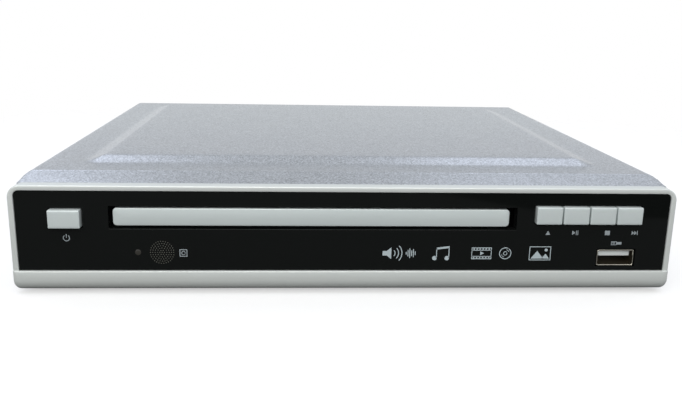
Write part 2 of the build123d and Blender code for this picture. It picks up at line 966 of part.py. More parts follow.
def front_bezel():
    """The moulded front: a rim round the window, the wall behind it, the rounded lower lip,
    posts for the front board, and flanges that reach into the cover and under the base."""
    depth = (-rim_proud, rim_depth)
    rim = front_prism(rounded_top(half_width, window_low, bezel_top, rim_corner), depth)
    soft = [e for e in edges_at(rim, "y", -rim_proud) if e.center().Z > window_low + slip]
    rim = fillet(soft, rim_round)
    lip = block(about(0, half_width), (-lip_proud, rim_depth), (bezel_bottom, window_low))
    under = [e for e in edges_at(lip, "y", -lip_proud) if e.center().Z < bezel_bottom + slip]
    lip = fillet(under, lip_round)
    ends = [
        e
        for e in edges_at(lip, "x", -half_width) + edges_at(lip, "x", half_width)
        if e.center().Z < window_low - slip and e.center().Y < rim_depth - slip
    ]
    lip = fillet(ends, lip_end_round)
    bezel = rim + lip - front_prism(
        rounded_top(window_half, window_low, window_high, window_corner),
        (-rim_proud - over, window_thickness),
    )
    bezel -= block(
        about(0, half_width - lip_hollow_side),
        (lip_wall, rim_depth + over),
        (bezel_bottom + lip_wall, window_low - lip_wall),
    )
    root = rim_depth - button_round
    hook_top = cover_front_top - sheet - hook_gap
    bezel += block(
        about(0, flange_half), (root, rim_depth + flange_reach), (bezel_bottom, plate_bottom - slip)
    )
    bezel += block(
        about(0, flange_half), (root, rim_depth + hook_reach), (hook_top - hook_thick, hook_top)
    )
    for side in (-1, 1):
        wall = between(side * flange_half, side * (flange_half + side_flange))
        bezel += block(wall, (root, rim_depth + flange_reach), (window_low, hook_top))
        hole = (side * bezel_screw_x, bezel_screw_back)
        bezel -= upright(hole, (0, plate_bottom), shank_hole)
    for at in front_screw_places():
        bezel += front_prism(Pos(*at) * Rectangle(board_post, board_post), (root, front_board_back))
        bezel -= endways(at, (rim_depth + over, front_board_back + over), shank_hole)
    through = (-lip_proud - over, rim_depth + over)
    opening = Pos(*sensor_at) * Rectangle(sensor_opening, sensor_opening)
    return bezel - front_openings(through) - front_prism(opening, through)


def front_window():
    """The black window, with the openings of the tray, buttons, data socket and lamp."""
    y = (0, window_thickness - window_slip)
    face = rounded_top(
        window_half - window_slip, window_low + window_slip, window_high - window_slip, window_corner
    )
    return front_prism(face, y) - front_openings(past(y))


def rubber_foot(at):
    """A round tapered foot with a hollow underside, stuck to the base."""
    foot = Pos(*at, plate_bottom / 2) * Cone(foot_radius - foot_taper, foot_radius, plate_bottom)
    return foot - upright(at, (-over, foot_hollow_depth), foot_hollow)


def housing():
    """The outer pieces and their screws."""
    keep("top_cover", top_cover())
    keep("chassis", chassis())
    keep("rear_panel", rear_panel())
    keep("front_bezel", front_bezel())
    keep("front_window", front_window())
    foot_rows = (foot_front, body_depth - foot_rear)
    keep("rubber_feet", *[rubber_foot((x, y)) for x in (-foot_x, foot_x) for y in foot_rows])
    cover_screws = []
    base_screws = []
    for side in (-1, 1):
        at = (side * cover_half, side_screw_back, side_screw_z)
        cover_screws.append(screw(at, (side, 0, 0), screw_grip))
        at = (side * tab_span, cover_rear, tab_screw_z)
        cover_screws.append(screw(at, (0, 1, 0), screw_grip))
        at = (side * bezel_screw_x, bezel_screw_back, bezel_bottom)
        base_screws.append(screw(at, (0, 0, -1), screw_grip))
        at = (side * panel_screw_x, panel_screw_back, plate_bottom)
        base_screws.append(screw(at, (0, 0, -1), screw_grip))
    keep("cover_screws", *cover_screws)
    keep("base_screws", *base_screws)


# Front controls ---------------------------------------------------------------------------------
def button(at, width, height):
    """A cap with soft front edges, a flange that holds it in, and a stem towards its switch."""
    back = rim_depth + button_seat_gap
    middle = Pos(*at)
    cap = front_prism(middle * Rectangle(width, height), (-button_proud, back))
    cap = fillet(edges_at(cap, "y", -button_proud), button_round)
    side = button_flange if width > key_width else 0.0
    tall = height + 2 * (button_flange + button_gap)
    flange = (back, back + button_flange_thick)
    stem_end = front_board_back - switch_depth - plunger_depth - button_travel - slip
    cap += front_prism(middle * Rectangle(width + 2 * side, tall), flange)
    return cap + front_prism(middle * Rectangle(button_stem, button_stem), (flange[1], stem_end))


def front_board():
    """The upright board: tall behind the buttons and low under the tray."""
    end = flange_half - over
    low = plate_top + front_board_rise
    high = bezel_top - front_board_drop
    middle = mouth_z - mouth_height / 2 - front_board_gap
    left = mouth_x - mouth_width / 2 - front_board_side_gap
    right = mouth_x + mouth_width / 2 + front_board_side_gap
    face = outline(
        (-end, low),
        (end, low),
        (end, high),
        (right, high),
        (right, middle),
        (left, middle),
        (left, high),
        (-end, high),
    )
    y = (front_board_back, front_board_back + board)
    return front_prism(face, y) - [endways(at, past(y), shank_hole) for at in front_screw_places()]


def key_switch(at):
    """A push switch on the front board: a square body and its plunger."""
    body_y = (front_board_back - switch_depth, front_board_back)
    plunger_y = (body_y[0] - plunger_depth, body_y[1] - over)
    body = front_prism(Pos(*at) * Rectangle(switch_width, switch_width), body_y)
    return body + front_prism(Pos(*at) * Rectangle(plunger_width, plunger_width), plunger_y)


def remote_sensor():
    """The receiver of the remote control: a small block with a rounded front."""
    front = front_board_back - sensor_depth
    at = (sensor_at[0], front)
    body = block(
        about(sensor_at[0], sensor_width / 2),
        (front, front_board_back),
        about(sensor_at[1], sensor_height / 2),
    )
    return body + upright(at, about(sensor_at[1], sensor_dome_height / 2), sensor_dome)


def status_lamp():
    """The lamp: a light pipe from its flange on the board to the window's face."""
    pipe = endways(lamp_at, (window_slip, front_board_back - over), lamp_radius)
    foot = (front_board_back - lamp_flange_length, front_board_back)
    return pipe + endways(lamp_at, foot, lamp_radius + lamp_flange)


def usb_shell():
    """The folded metal shell of the data socket, open at the front."""
    inner_width = usb_width - 2 * usb_wall
    inner_height = usb_height - 2 * usb_wall
    outer = Pos(*usb_at) * RectangleRounded(usb_width, usb_height, usb_corner)
    inner = Pos(*usb_at) * RectangleRounded(inner_width, inner_height, usb_corner - usb_wall)
    shell = front_prism(outer, (usb_back, front_board_back))
    return shell - front_prism(inner, (usb_back - over, front_board_back - over))


def usb_tongue():
    """The plastic tongue that carries the socket's contacts, and its base."""
    width = usb_width - 2 * usb_wall - slip
    height = usb_height - 2 * usb_wall - slip
    back = front_board_back - over - window_slip
    base_front = back - tongue_base
    base = Pos(*usb_at) * RectangleRounded(width, height, usb_corner - usb_wall + slip / 2)
    tongue_z = usb_at[1] + usb_height / 2 - usb_wall - tongue_drop - tongue_thick / 2
    tongue = Pos(usb_at[0], tongue_z) * Rectangle(tongue_width, tongue_thick)
    return front_prism(base, (base_front, back)) + front_prism(tongue, (tongue_back, base_front))


def controls():
    """Buttons, their board and switches, the lamp, the remote sensor and the data socket."""
    for name, at, width, height in button_places():
        keep(name, button(at, width, height))
    keep("front_board", front_board())
    keep("key_switches", *[key_switch(at) for _, at, _, _ in button_places()])
    keep("remote_sensor", remote_sensor())
    keep("status_lamp", status_lamp())
    keep("usb_shell", usb_shell())
    keep("usb_tongue", usb_tongue())


# Tray -------------------------------------------------------------------------------------------
def disc_tray():
    """The drawer: two stepped pockets, a slot open to the rear, side rails and a toothed rack."""
    at = (tray_x, disc_back)
    y = (tray_front, tray_rear)
    tray = block(about(tray_x, tray_half), y, (tray_under, tray_top))
    uprights = edges_at(tray, "z", (tray_under + tray_top) / 2)
    tray = fillet([e for e in uprights if e.center().Y > disc_back], tray_corner)
    tray += upright(at, (small_floor - small_skin, tray_under + bite), small_pocket + tray_skin)
    tray -= upright(at, (tray_floor, tray_top + over), disc_pocket)
    tray -= upright(at, (small_floor, tray_top + over), small_pocket)
    for side in (-1, 1):
        edge = tray_x + side * tray_half
        rail = between(edge, edge - side * rail_width)
        tray += block(rail, (y[0], y[1] - rail_rear_gap), (tray_bottom, tray_under + bite))
        notch = (tray_x + side * (disc_pocket - finger_notch_inset), disc_back)
        tray -= upright(notch, (tray_floor, tray_top + over), finger_notch)
    back = tray_x - tray_half + rail_width - bite
    teeth = (tray_front + rack_front, rack_rear)
    rack = rack_face(gear_module, teeth, tray_x - pitch_line, back, drive_back)
    tray += top_prism(rack, (tray_bottom, tray_under + bite))
    through = (tray_bottom - over, tray_top + over)
    tray -= upright(at, through, slot_half)
    tray -= block(about(tray_x, slot_half), (disc_back, tray_rear + over), through)
    return tray + block(
        about(tray_x, tray_half - tray_lip_side),
        (tray_front, tray_front + tray_lip),
        (door_z - door_height / 2 + mouth_drop, tray_under + bite),
    )


def tray_door():
    """The silver fascia that closes the mouth: thin, with round corners and two clips behind."""
    back = door_back + door_thick
    face = Pos(tray_x, door_z) * RectangleRounded(door_width, door_height, door_corner)
    door = front_prism(face, (door_back, back))
    door = chamfer(edges_at(door, "y", door_back), door_chamfer)
    clip_z = (door_z - door_height / 2 + door_clip_edge, tray_top - door_clip_edge)
    for side in (-1, 1):
        x = tray_x + side * (door_width / 2 - door_clip_inset)
        door += block(about(x, door_clip_half), (back - bite, tray_front), clip_z)
    return door


# Loader body ------------------------------------------------------------------------------------
def loader_frame():
    """The moulded loader body: a channel for the tray with guides over its edges, ribbed side
    walls, posts for the gears, guides and bearings for the lifting mechanism, and lugs."""
    y = (frame_front, frame_rear)
    open_top = frame_top + over
    channel = tray_half + tray_side_gap
    inner_y = (frame_front + frame_wall, frame_rear - frame_wall)
    frame = block(about(tray_x, frame_half), y, (frame_bottom, frame_top))
    frame -= block(about(tray_x, channel), (frame_front - over, inner_y[1]), (ledge, open_top))
    frame -= block(about(tray_x, lower_half), inner_y, (floor_top, open_top))
    bay_y = (traverse_front - cam_guide_thick, inner_y[1] - bay_rear_gap)
    frame -= block(about(tray_x, bay_half), bay_y, (0, floor_top + over))
    frame -= upright(drive_at, (wheel_low - wheel_gap / 2, ledge + over), wheel_radius + wheel_room)
    frame -= upright(motor_at, (0, floor_top + over), motor_radius + 2 * slip)
    for side in (-1, 1):
        cell_x = between(
            tray_x + side * (lower_half + cell_wall), tray_x + side * (frame_half - cell_wall)
        )
        for n in range(cell_count):
            start = cell_start + n * (cell_length + cell_rib)
            cell = (frame_bottom - over, ledge - cell_wall)
            frame -= block(cell_x, (start, start + cell_length), cell)
        guide_x = between(
            tray_x + side * (tray_half - guide_reach), tray_x + side * (channel + 2 * bite)
        )
        for start in guide_places:
            guide = (frame_top - guide_thick, frame_top)
            frame += block(guide_x, (start, start + guide_length), guide)
        frame += block(
            about(tray_x + side * ear_half, ear_thick / 2),
            (pivot_back - ear_front, frame_rear - over),
            (frame_bottom, pivot_z + ear_height),
        )
        cam_guide = about(tray_x + side * cam_guide_x, cam_guide_half)
        for start in (cam_back - running_gap - cam_guide_thick, cam_back + cam_thick + running_gap):
            height = (floor_top - bite, floor_top + cam_guide_height)
            frame += block(cam_guide, (start, start + cam_guide_thick), height)
    posts = ((drive_at, drive_top + bite, wheel_low), (pinion_at, pinion_top + post_spare, pulley_low))
    for at, top, seat in posts:
        frame += upright(at, (floor_top - bite, top), post_radius)
        frame += upright(at, (floor_top - bite, seat - 2 * slip), post_radius + post_collar)
    bearing = about(tray_x, ear_half + ear_thick)
    frame -= sideways((pivot_back, pivot_z), bearing, post_radius + shaft_play)
    for at in lug_places():
        lug = (frame_bottom, frame_bottom + lug_thick)
        frame += block(about(at[0], lug_size / 2), about(at[1], lug_size / 2), lug)
        frame -= upright(at, past(lug), shank_hole)
    for at in bridge_screw_places():
        frame -= upright(at, (frame_top - bridge_screw_depth, open_top), shank_hole)
    return frame


# Loading drive ----------------------------------------------------------------------------------
def belt_groove(radius):
    """What is cut from a pulley of this radius to seat the belt."""
    half = belt_thick / 2 + groove_play
    ring = upright((0, 0), about(belt_z, half), radius + over)
    return ring - upright((0, 0), about(belt_z, half + over), radius - groove_depth)


def drive_gear():
    """The gear that moves the tray: a small one in the rack over a wide one."""
    towards_rack = 180.0
    wheel = (wheel_low, wheel_low + wheel_thick)
    gear = top_prism(gear_face(wheel_teeth, gear_module, mesh_bearing), wheel)
    neck = drive_radius - 2 * gear_module
    gear += upright((0, 0), (wheel[1] - bite, drive_low + bite), neck)
    gear += top_prism(gear_face(drive_teeth, gear_module, towards_rack), (drive_low, drive_top))
    gear -= upright((0, 0), (0, drive_top + over), post_radius + shaft_play)
    return Pos(*drive_at, 0) * gear


def pulley_gear():
    """The belt pulley, with the small gear on top of it that drives the wide one."""
    rim_top = pulley_low + pulley_thick
    gap_bearing = mesh_bearing + 180.0 + 180.0 / pinion_teeth
    gear = top_prism(gear_face(pinion_teeth, gear_module, gap_bearing), (rim_top, pinion_top))
    gear += upright((0, 0), (pulley_low, rim_top), pulley_radius) - belt_groove(pulley_radius)
    gear -= upright((0, 0), (0, pinion_top + over), post_radius + shaft_play)
    return Pos(*pinion_at, 0) * gear


def motor_pulley():
    """The small pulley on the loading motor's shaft."""
    pulley = upright((0, 0), (pulley_low, pulley_low + pulley_thick), motor_pulley_radius)
    pulley -= belt_groove(motor_pulley_radius)
    pulley += upright((0, 0), (motor_bottom + 2 * over, pulley_low + bite), motor_shaft)
    return Pos(*motor_at, 0) * pulley


def loading_belt():
    """The belt, as a closed band round both pulleys."""
    bands = []
    for grow in (belt_thick, 0.0):
        seat = belt_seat + grow - groove_depth
        big = Pos(*pinion_at) * Circle(pulley_radius + seat)
        small = Pos(*motor_at) * Circle(motor_pulley_radius + seat)
        bands.append(make_hull([*big.edges(), *small.edges()]))
    return top_prism(bands[0] - bands[1], about(belt_z, belt_thick / 2))


def loading_motor():
    """The flat motor that drives the belt: its can, and ears that rest on the loader's floor."""
    motor = upright(motor_at, (motor_bottom, motor_top), motor_radius)
    ears = SlotOverall(2 * (motor_radius + motor_ear), motor_radius)
    seat = floor_top + slip
    motor += top_prism(Pos(*motor_at) * ears, (seat, seat + motor_ear_thick))
    return motor - upright(motor_at, (motor_bottom + over, motor_top + over), motor_shaft + shaft_play)


# Clamp ------------------------------------------------------------------------------------------
def clamp_bridge():
    """The pressed steel bridge over the disc, with raised edges and the hole for the clamp."""
    half = frame_half - bridge_inset
    y = about(disc_back, bridge_half)
    through = (frame_top - over, bridge_top + bridge_rib + over)
    bridge = block(about(tray_x, half), y, (frame_top, bridge_top))
    for start in (y[0], y[1] - bridge_thick):
        rib = (frame_top, bridge_top + bridge_rib)
        bridge += block(about(tray_x, half - bridge_rib_inset), (start, start + bridge_thick), rib)
    bridge -= upright((tray_x, disc_back), through, puck_radius + puck_room)
    for at in bridge_screw_places():
        bridge -= upright(at, through, shank_hole)
    for side in (-1, 1):
        x = about(tray_x + side * bridge_window_x, bridge_window)
        bridge -= block(x, about(disc_back, bridge_window_half), through)
    return bridge


def clamp_puck():
    """The magnetic clamp that presses the disc onto the turntable."""
    seat = bridge_top + running_gap
    low = frame_top - puck_drop
    top = seat + puck_flange_thick
    puck = upright((0, 0), (low, seat + bite), puck_radius)
    puck += upright((0, 0), (seat, top), puck_radius + puck_flange)
    puck += upright((0, 0), (top - bite, top + puck_crown_thick), puck_crown)
    hollow = (low - over, seat_z + cone_rise + puck_hollow_gap)
    return Pos(tray_x, disc_back, 0) * (puck - upright((0, 0), hollow, puck_hollow))


# Lifting mechanism ------------------------------------------------------------------------------
def cam_slider():
    """The sliding plate whose slanted slot raises and lowers the mechanism."""
    low = floor_top + running_gap
    y = (cam_back, cam_back + cam_thick)
    plate = block(about(tray_x, cam_half), y, (low, pivot_z + cam_rise))
    slope = degrees(atan2(traverse_drop, cam_travel))
    width = 2 * (cam_pin_radius + cam_slot_play)
    slot = SlotOverall(hypot(traverse_drop, cam_travel) + width, width)
    middle = Pos(tray_x - cam_travel / 2, pivot_z - traverse_drop / 2)
    plate -= front_prism(middle * Rot(0, 0, slope) * slot, past(y))
    arm_x = about(tray_x + cam_arm_x, cam_arm_width / 2)
    return plate + block(arm_x, (cam_back - cam_arm_reach, cam_back + bite), (low, low + cam_arm_height))


def traverse_chassis():
    """The lifting plate that carries the spindle, the rods and the pickup's drive."""
    x = (tray_x - traverse_left, tray_x + traverse_right)
    plate_z = (plate_low, plate_high)
    plate = block(x, (traverse_front, pivot_back + traverse_rear), plate_z)
    plate -= block(about(tray_x, sled_window), (rods_from, rods_to - traverse_rear), past(plate_z))
    plate += endways(
        (tray_x, pivot_z), (cam_back - cam_pin_tip, traverse_front + cam_pin_bite), cam_pin_radius
    )
    for side in (-1, 1):
        pin = between(
            tray_x + side * pivot_pin_root, tray_x + side * (ear_half + pivot_pin_tip)
        )
        plate += sideways((pivot_back, pivot_z), pin, post_radius)
        rod_x = tray_x + side * rod_half
        for start in (rods_from - rod_block_length, rods_to - over):
            seat = (start, start + rod_block_length)
            groove = rod_radius + rod_seat_play
            top = rod_z + rod_block_rise
            plate += block(about(rod_x, rod_block_half), seat, (plate_high - bite, top))
            plate -= block(about(rod_x, groove), past(seat), (rod_z - groove, top + over))
    plate += upright(feed_at, (plate_high - bite, feed_low + feed_big_face + feed_small_face), feed_post)
    plate -= upright(feed_motor_at, past(plate_z), feed_shaft + feed_lift)
    return plate - upright((tray_x, disc_back), past(plate_z), bearing_radius + 2 * slip)


# Spindle ----------------------------------------------------------------------------------------
def spindle_motor():
    """The spindle's base and bearing, with the wound core that sits inside the rotor."""
    low = plate_low - bearing_reach
    base = (plate_high, plate_high + stator_base)
    stator_top = rotor_top() - rotor_wall - stator_gap / 2
    core = upright((0, 0), (low, stator_top + slip), bearing_radius)
    core += upright((0, 0), base, rotor_radius + stator_base / 2)
    stator = (stator_top - stator_thick, stator_top)
    core += upright((0, 0), stator, rotor_radius - rotor_wall - stator_gap)
    core -= upright((0, 0), (low + over, stator_top + over), spindle_radius + shaft_play)
    return Pos(tray_x, disc_back, 0) * core


def rotor_top():
    """The height of the rotor cup's top."""
    return seat_z - rotor_drop


def turntable():
    """The rotor's cup and shaft, with the seat and centring cone for the disc on top."""
    top = rotor_top()
    cup = upright((0, 0), (plate_high + rotor_gap, top), rotor_radius)
    cup -= upright((0, 0), (0, top - rotor_wall), rotor_radius - rotor_wall)
    cup += upright((0, 0), (plate_low + spindle_foot, top - bite), spindle_radius)
    cup += upright((0, 0), (top - bite, seat_z - turntable_thick + bite), hub_radius)
    cup += upright((0, 0), (seat_z - turntable_thick, seat_z), turntable_radius)
    cup += Pos(0, 0, seat_z + cone_rise / 2) * Cone(cone_low, cone_high, cone_rise)
    return Pos(tray_x, disc_back, 0) * cup


# Pickup -----------------------------------------------------------------------------------------
def pickup_body():
    """The sled: a die-cast body on two rods, with the lens's mount and a rack at its side."""
    y = (sled_front, sled_rear)
    low = plate_low - pickup_low
    body = block(about(tray_x, pickup_half), y, (low, sled_top))
    body = chamfer(edges_at(body, "z", low), pickup_chamfer)
    reach = rod_half + pickup_bearing
    for side in (-1, 1):
        bearing = between(tray_x + side * (pickup_half - over), tray_x + side * reach)
        body += block(bearing, y, about(rod_z, pickup_bearing_half))
        body -= endways((tray_x + side * rod_half, rod_z), past(y), rod_radius + shaft_play)
    lens_top = sled_top + lens_rise
    lens_y = about(lens_back, lens_half)
    body += block(about(tray_x, lens_side), lens_y, (sled_top - bite, lens_top))
    body -= upright((tray_x, lens_back), (lens_top - lens_well, lens_top + over), lens_holder + slip)
    rack_y = (feed_at[1] - pickup_travel - feed_rack_spare, feed_at[1] + feed_rack_spare - over)
    rack = rack_face(feed_module, rack_y, feed_line, tray_x + reach - bite, feed_at[1])
    return body + top_prism(rack, (feed_low + feed_rack_low, rod_z + feed_rack_high))


def pickup_lens():
    """The objective lens in its ring."""
    low = sled_top + lens_rise - lens_well + shaft_play
    top = low + lens_holder_height
    at = (tray_x, lens_back)
    glass = top - lens_seat
    ring = upright(at, (low, top), lens_holder) - upright(at, (glass, top + over), lens_radius)
    return ring + Pos(*at, glass + lens_dome / 2 - bite) * Cone(lens_low, lens_high, lens_dome)


def feed_gear():
    """The sled's reduction gear: a small one in the rack over a wide one."""
    big = (feed_low, feed_low + feed_big_face)
    small = (big[1] - bite, big[1] + feed_small_face - bite)
    towards_motor = -90.0
    towards_rack = 180.0
    gear = top_prism(gear_face(feed_big_teeth, feed_module, towards_motor), big)
    gear += top_prism(gear_face(feed_small_teeth, feed_module, towards_rack), small)
    gear -= upright((0, 0), (0, small[1] + over), feed_post + shaft_play)
    return Pos(*feed_at, 0) * gear


def feed_pinion():
    """The pinion on the sled motor's shaft."""
    gap_bearing = 90.0 + 180.0 / feed_pinion_teeth
    face = (feed_low, feed_low + feed_pinion_face)
    gear = top_prism(gear_face(feed_pinion_teeth, feed_module, gap_bearing), face)
    gear += upright((0, 0), (plate_low - feed_shaft_length, feed_low + bite), feed_shaft)
    return Pos(*feed_motor_at, 0) * gear


def feed_motor():
    """The sled motor under the plate."""
    can = upright(feed_motor_at, (plate_low - feed_motor_height, plate_low), feed_motor_radius)
    bore = (plate_low - feed_shaft_length - 2 * slip, plate_low + over)
    return can - upright(feed_motor_at, bore, feed_shaft + shaft_play)


def loader():
    """The tray, the loading drive, the lifting mechanism, the spindle, pickup and clamp."""
    keep("tray", disc_tray())
    keep("tray_door", tray_door())
    keep("loader_frame", loader_frame())
    keep("drive_gear", drive_gear())
    keep("pulley_gear", pulley_gear())
    keep("motor_pulley", motor_pulley())
    keep("loading_belt", loading_belt())
    keep("loading_motor", loading_motor())
    keep("clamp_bridge", clamp_bridge())
    keep("clamp_puck", clamp_puck())
    keep("cam_slider", cam_slider())
    keep("traverse_chassis", traverse_chassis())
    keep("spindle_motor", spindle_motor())
    keep("turntable", turntable())
    rod_y = (rods_from - rod_block_length + 2 * slip, rods_to + rod_block_length - over - 2 * slip)
    rods = [endways((tray_x + side * rod_half, rod_z), rod_y, rod_radius) for side in (-1, 1)]
    keep("guide_rods", *rods)
    keep("pickup_body", pickup_body())
    keep("pickup_lens", pickup_lens())
    keep("feed_gear", feed_gear())
    keep("feed_pinion", feed_pinion())
    keep("feed_motor", feed_motor())


# Boards and wiring ------------------------------------------------------------------------------
def level_board(x, y, holes):
    """A circuit board lying on its standoffs."""
    z = (board_low, board_top)
    return block(x, y, z) - [upright(at, past(z), shank_hole) for at in holes]


def standoff(at, top):
    """A hexagonal post on the base with a pocket for a screw."""
    post = extrude(RegularPolygon(post_flats, 6), top - plate_top)
    pocket = extrude(RegularPolygon(shank_hole, 6), top - plate_top)
    return Pos(*at, plate_top) * (post - Pos(0, 0, standoff_floor) * pocket)


def main_parts():
    """The main board's chips, and its row of capacitors."""
    chips = []
    for x, back, width, length, height in chip_sizes:
        y = about(main_y[0] + back, length / 2)
        chips.append(block(about(x, width / 2), y, (board_top, board_top + height)))
    keep("main_chips", *chips)
    row = main_y[0] + can_back
    height = (board_top, board_top + can_height)
    keep("main_capacitors", *[upright((x, row), height, can_radius) for x in can_places])


def supply_parts():
    """The power board's transformer, capacitors, heat sink and fuse."""
    x = supply_middle
    core_y = (core_start, core_start + core_length)
    core_z = (board_top + winding_reach, board_top + core_height)
    gap_half = core_half - core_limb
    gap_z = (core_z[0] + core_limb, core_z[1] - core_limb)
    core = block(about(x, core_half), core_y, core_z) - block(about(x, gap_half), past(core_y), gap_z)
    winding_y = (core_y[0] - winding_reach, core_y[1] + winding_reach)
    winding = block(about(x, gap_half - winding_play), winding_y, (board_top, gap_z[1] - winding_play))
    keep("transformer", core + winding)
    big = upright((x + big_can_x, big_can_back), (board_top, board_top + big_can_height), big_can_radius)
    small_z = (board_top, board_top + small_can_height)
    rows = [small_can_back + n * small_can_pitch for n in range(small_can_count)]
    small = [upright((x + small_can_x, y), small_z, small_can_radius) for y in rows]
    keep("supply_capacitors", big, *small)
    plate_y = (sink_back + sink_fin_reach - sink_thick / 2, sink_back + sink_fin_reach + sink_thick / 2)
    sink_top = board_top + sink_height
    sink = block(about(x + sink_x, sink_half), plate_y, (board_top, sink_top))
    for offset in spread(sink_fin_count, sink_fin_pitch):
        fin = about(x + sink_x + offset, sink_fin / 2)
        sink += block(fin, (sink_back, plate_y[1]), (board_top + sink_fin_lift, sink_top))
    keep("heat_sink", sink)
    fuse = sideways((fuse_back, board_top + fuse_lift), about(x, fuse_length / 2), fuse_radius)
    clips = []
    for side in (-1, 1):
        clip_x = about(x + side * clip_spread, clip_half)
        clip_y = about(fuse_back, clip_reach)
        clips.append(block(clip_x, clip_y, (board_top, board_top + fuse_lift)) - fuse)
    keep("mains_fuse", fuse)
    keep("fuse_clips", *clips)


def band(points, thick):
    """A band of even thickness along a line of points in (y, z)."""
    upper = []
    lower = []
    for n, (y, z) in enumerate(points):
        before = points[max(n - 1, 0)]
        after = points[min(n + 1, len(points) - 1)]
        along = hypot(after[0] - before[0], after[1] - before[1])
        across_y = (after[1] - before[1]) / along * thick / 2
        across_z = (after[0] - before[0]) / along * thick / 2
        upper.append((y - across_y, z + across_z))
        lower.append((y + across_y, z - across_z))
    return outline(*upper, *reversed(lower))


def front_ribbon():
    """The flat cable from the front board, under the loader, to the main board."""
    start = front_board_back + board
    down = start + ribbon_gap
    floor = plate_top + ribbon_low
    rise = main_y[0] - ribbon_rear_gap
    lap = board_top + slip + ribbon_thick
    path = [
        (start, ribbon_top),
        (down, ribbon_top),
        (down, floor + ribbon_bend),
        (down + ribbon_bend, floor),
        (rise - ribbon_bend, floor),
        (rise, floor + ribbon_bend),
        (rise, lap),
        (main_y[0] + ribbon_lap, lap),
    ]
    return side_prism(band(path, ribbon_thick), (ribbon_x, ribbon_x + ribbon_width))


def mains_lead(side):
    """One lead from the inlet's pin down to the power board."""
    start = (inlet_x + side * inlet_spacing / 2, panel_front - inlet_depth - inlet_pin_tail, inlet_z)
    end = (inlet_x + side * lead_spread, supply_y[1] - lead_end, board_top)
    route = FilletPolyline(
        start,
        (start[0], start[1] - lead_run, start[2]),
        (end[0], end[1] + 2 * lead_radius, start[2]),
        (end[0], end[1], end[2] + lead_drop),
        end,
        radius=lead_bend,
    )
    return sweep(Plane(start, z_dir=(0, -1, 0)) * RegularPolygon(lead_radius, 6), path=route)


# Rear sockets -----------------------------------------------------------------------------------
def jacks():
    """The round jacks: one black housing, metal barrels, and their insulators."""
    back = panel_front - jack_block_depth
    seat = panel_front - jack_depth
    collar = body_depth + jack_collar_proud
    top = jack_z + jack_block_rise
    housing_block = block(
        about(jack_x, jack_count * jack_pitch / 2), (back, panel_front), (board_top, top)
    )
    housing_block = chamfer(edges_at(housing_block, "y", back), jack_block_chamfer)
    housing_block -= endways(jack_screw, (seat, panel_front + over), shank_hole)
    barrels = []
    rings = []
    for x in spread(jack_count, jack_pitch):
        at = (jack_x + x, jack_z)
        root = jack_radius + jack_root
        housing_block += endways(at, (panel_front - over, collar), jack_collar)
        housing_block -= endways(at, (seat, collar + over), root + rod_seat_play)
        barrel = endways(at, (seat, jack_tip), jack_radius) + endways(at, (seat, collar), root)
        barrels.append(barrel - endways(at, past((seat, jack_tip)), jack_radius - jack_wall))
        ring = endways(at, (seat, jack_tip - jack_tip_step), jack_radius - jack_wall - rod_seat_play)
        rings.append(ring - endways(at, (panel_front - jack_bore_depth, jack_tip), jack_bore))
    keep("jack_housing", housing_block)
    keep("jack_barrels", *barrels)
    keep("jack_insulators", *rings)


def scart():
    """The wide socket: a moulded shell with a slanted corner, and the contact block inside it."""
    y = (panel_front - scart_depth, body_depth + scart_proud)
    half = scart_width / 2
    shell = front_prism(scart_outline(0), y)
    ears = Rectangle(2 * (half + scart_ear), scart_height - 2 * scart_ear_inset)
    shell += front_prism(Pos(scart_x, scart_z) * ears, (panel_front - scart_ear_thick, panel_front))
    shell += block(about(scart_x, half), (y[0], panel_front), (board_top, scart_z))
    inside = (y[0] + scart_back_wall, y[1] + over)
    shell -= front_prism(scart_outline(-scart_wall), inside)
    for at in socket_screw_places()[:2]:
        shell -= endways(at, past((panel_front - scart_ear_thick, panel_front)), shank_hole)
    keep("scart_shell", shell)
    front = y[1] - contact_recess
    at = Pos(scart_x - over, scart_z)
    core = front_prism(
        at * RectangleRounded(contact_width, contact_height, contact_corner), (inside[0], front)
    )
    slots = []
    for row in (-1, 1):
        for x in spread(contact_count, contact_pitch):
            place = at * Pos(x + row * contact_stagger, row * contact_row)
            depth = (front - contact_slot_depth, front + over)
            slots.append(front_prism(place * Rectangle(contact_slot_width, contact_slot_height), depth))
    keep("scart_contacts", core - slots)


def mains_inlet():
    """The two-lobed mains inlet with its flange and two pins."""
    y = (panel_front - inlet_depth, body_depth + inlet_proud)
    width = inlet_spacing + 2 * (inlet_lobe + inlet_flange)
    flange = Pos(inlet_x, inlet_z) * RectangleRounded(
        width, 2 * (inlet_lobe + inlet_flange), inlet_rim
    )
    body = front_prism(inlet_outline(inlet_rim), y)
    body += front_prism(flange, (panel_front - inlet_flange_thick, panel_front))
    body -= front_prism(inlet_outline(0), (y[0] + inlet_back_wall, y[1] + over))
    pins = []
    for side in (-1, 1):
        at = (inlet_x + side * inlet_spacing / 2, inlet_z)
        body -= endways(at, (y[0] - over, y[0] + inlet_back_wall + bite), inlet_pin + rod_seat_play)
        pins.append(endways(at, (y[0] - inlet_pin_tail, y[1] - inlet_pin_recess), inlet_pin))
    keep("mains_inlet", body)
    keep("inlet_pins", *pins)


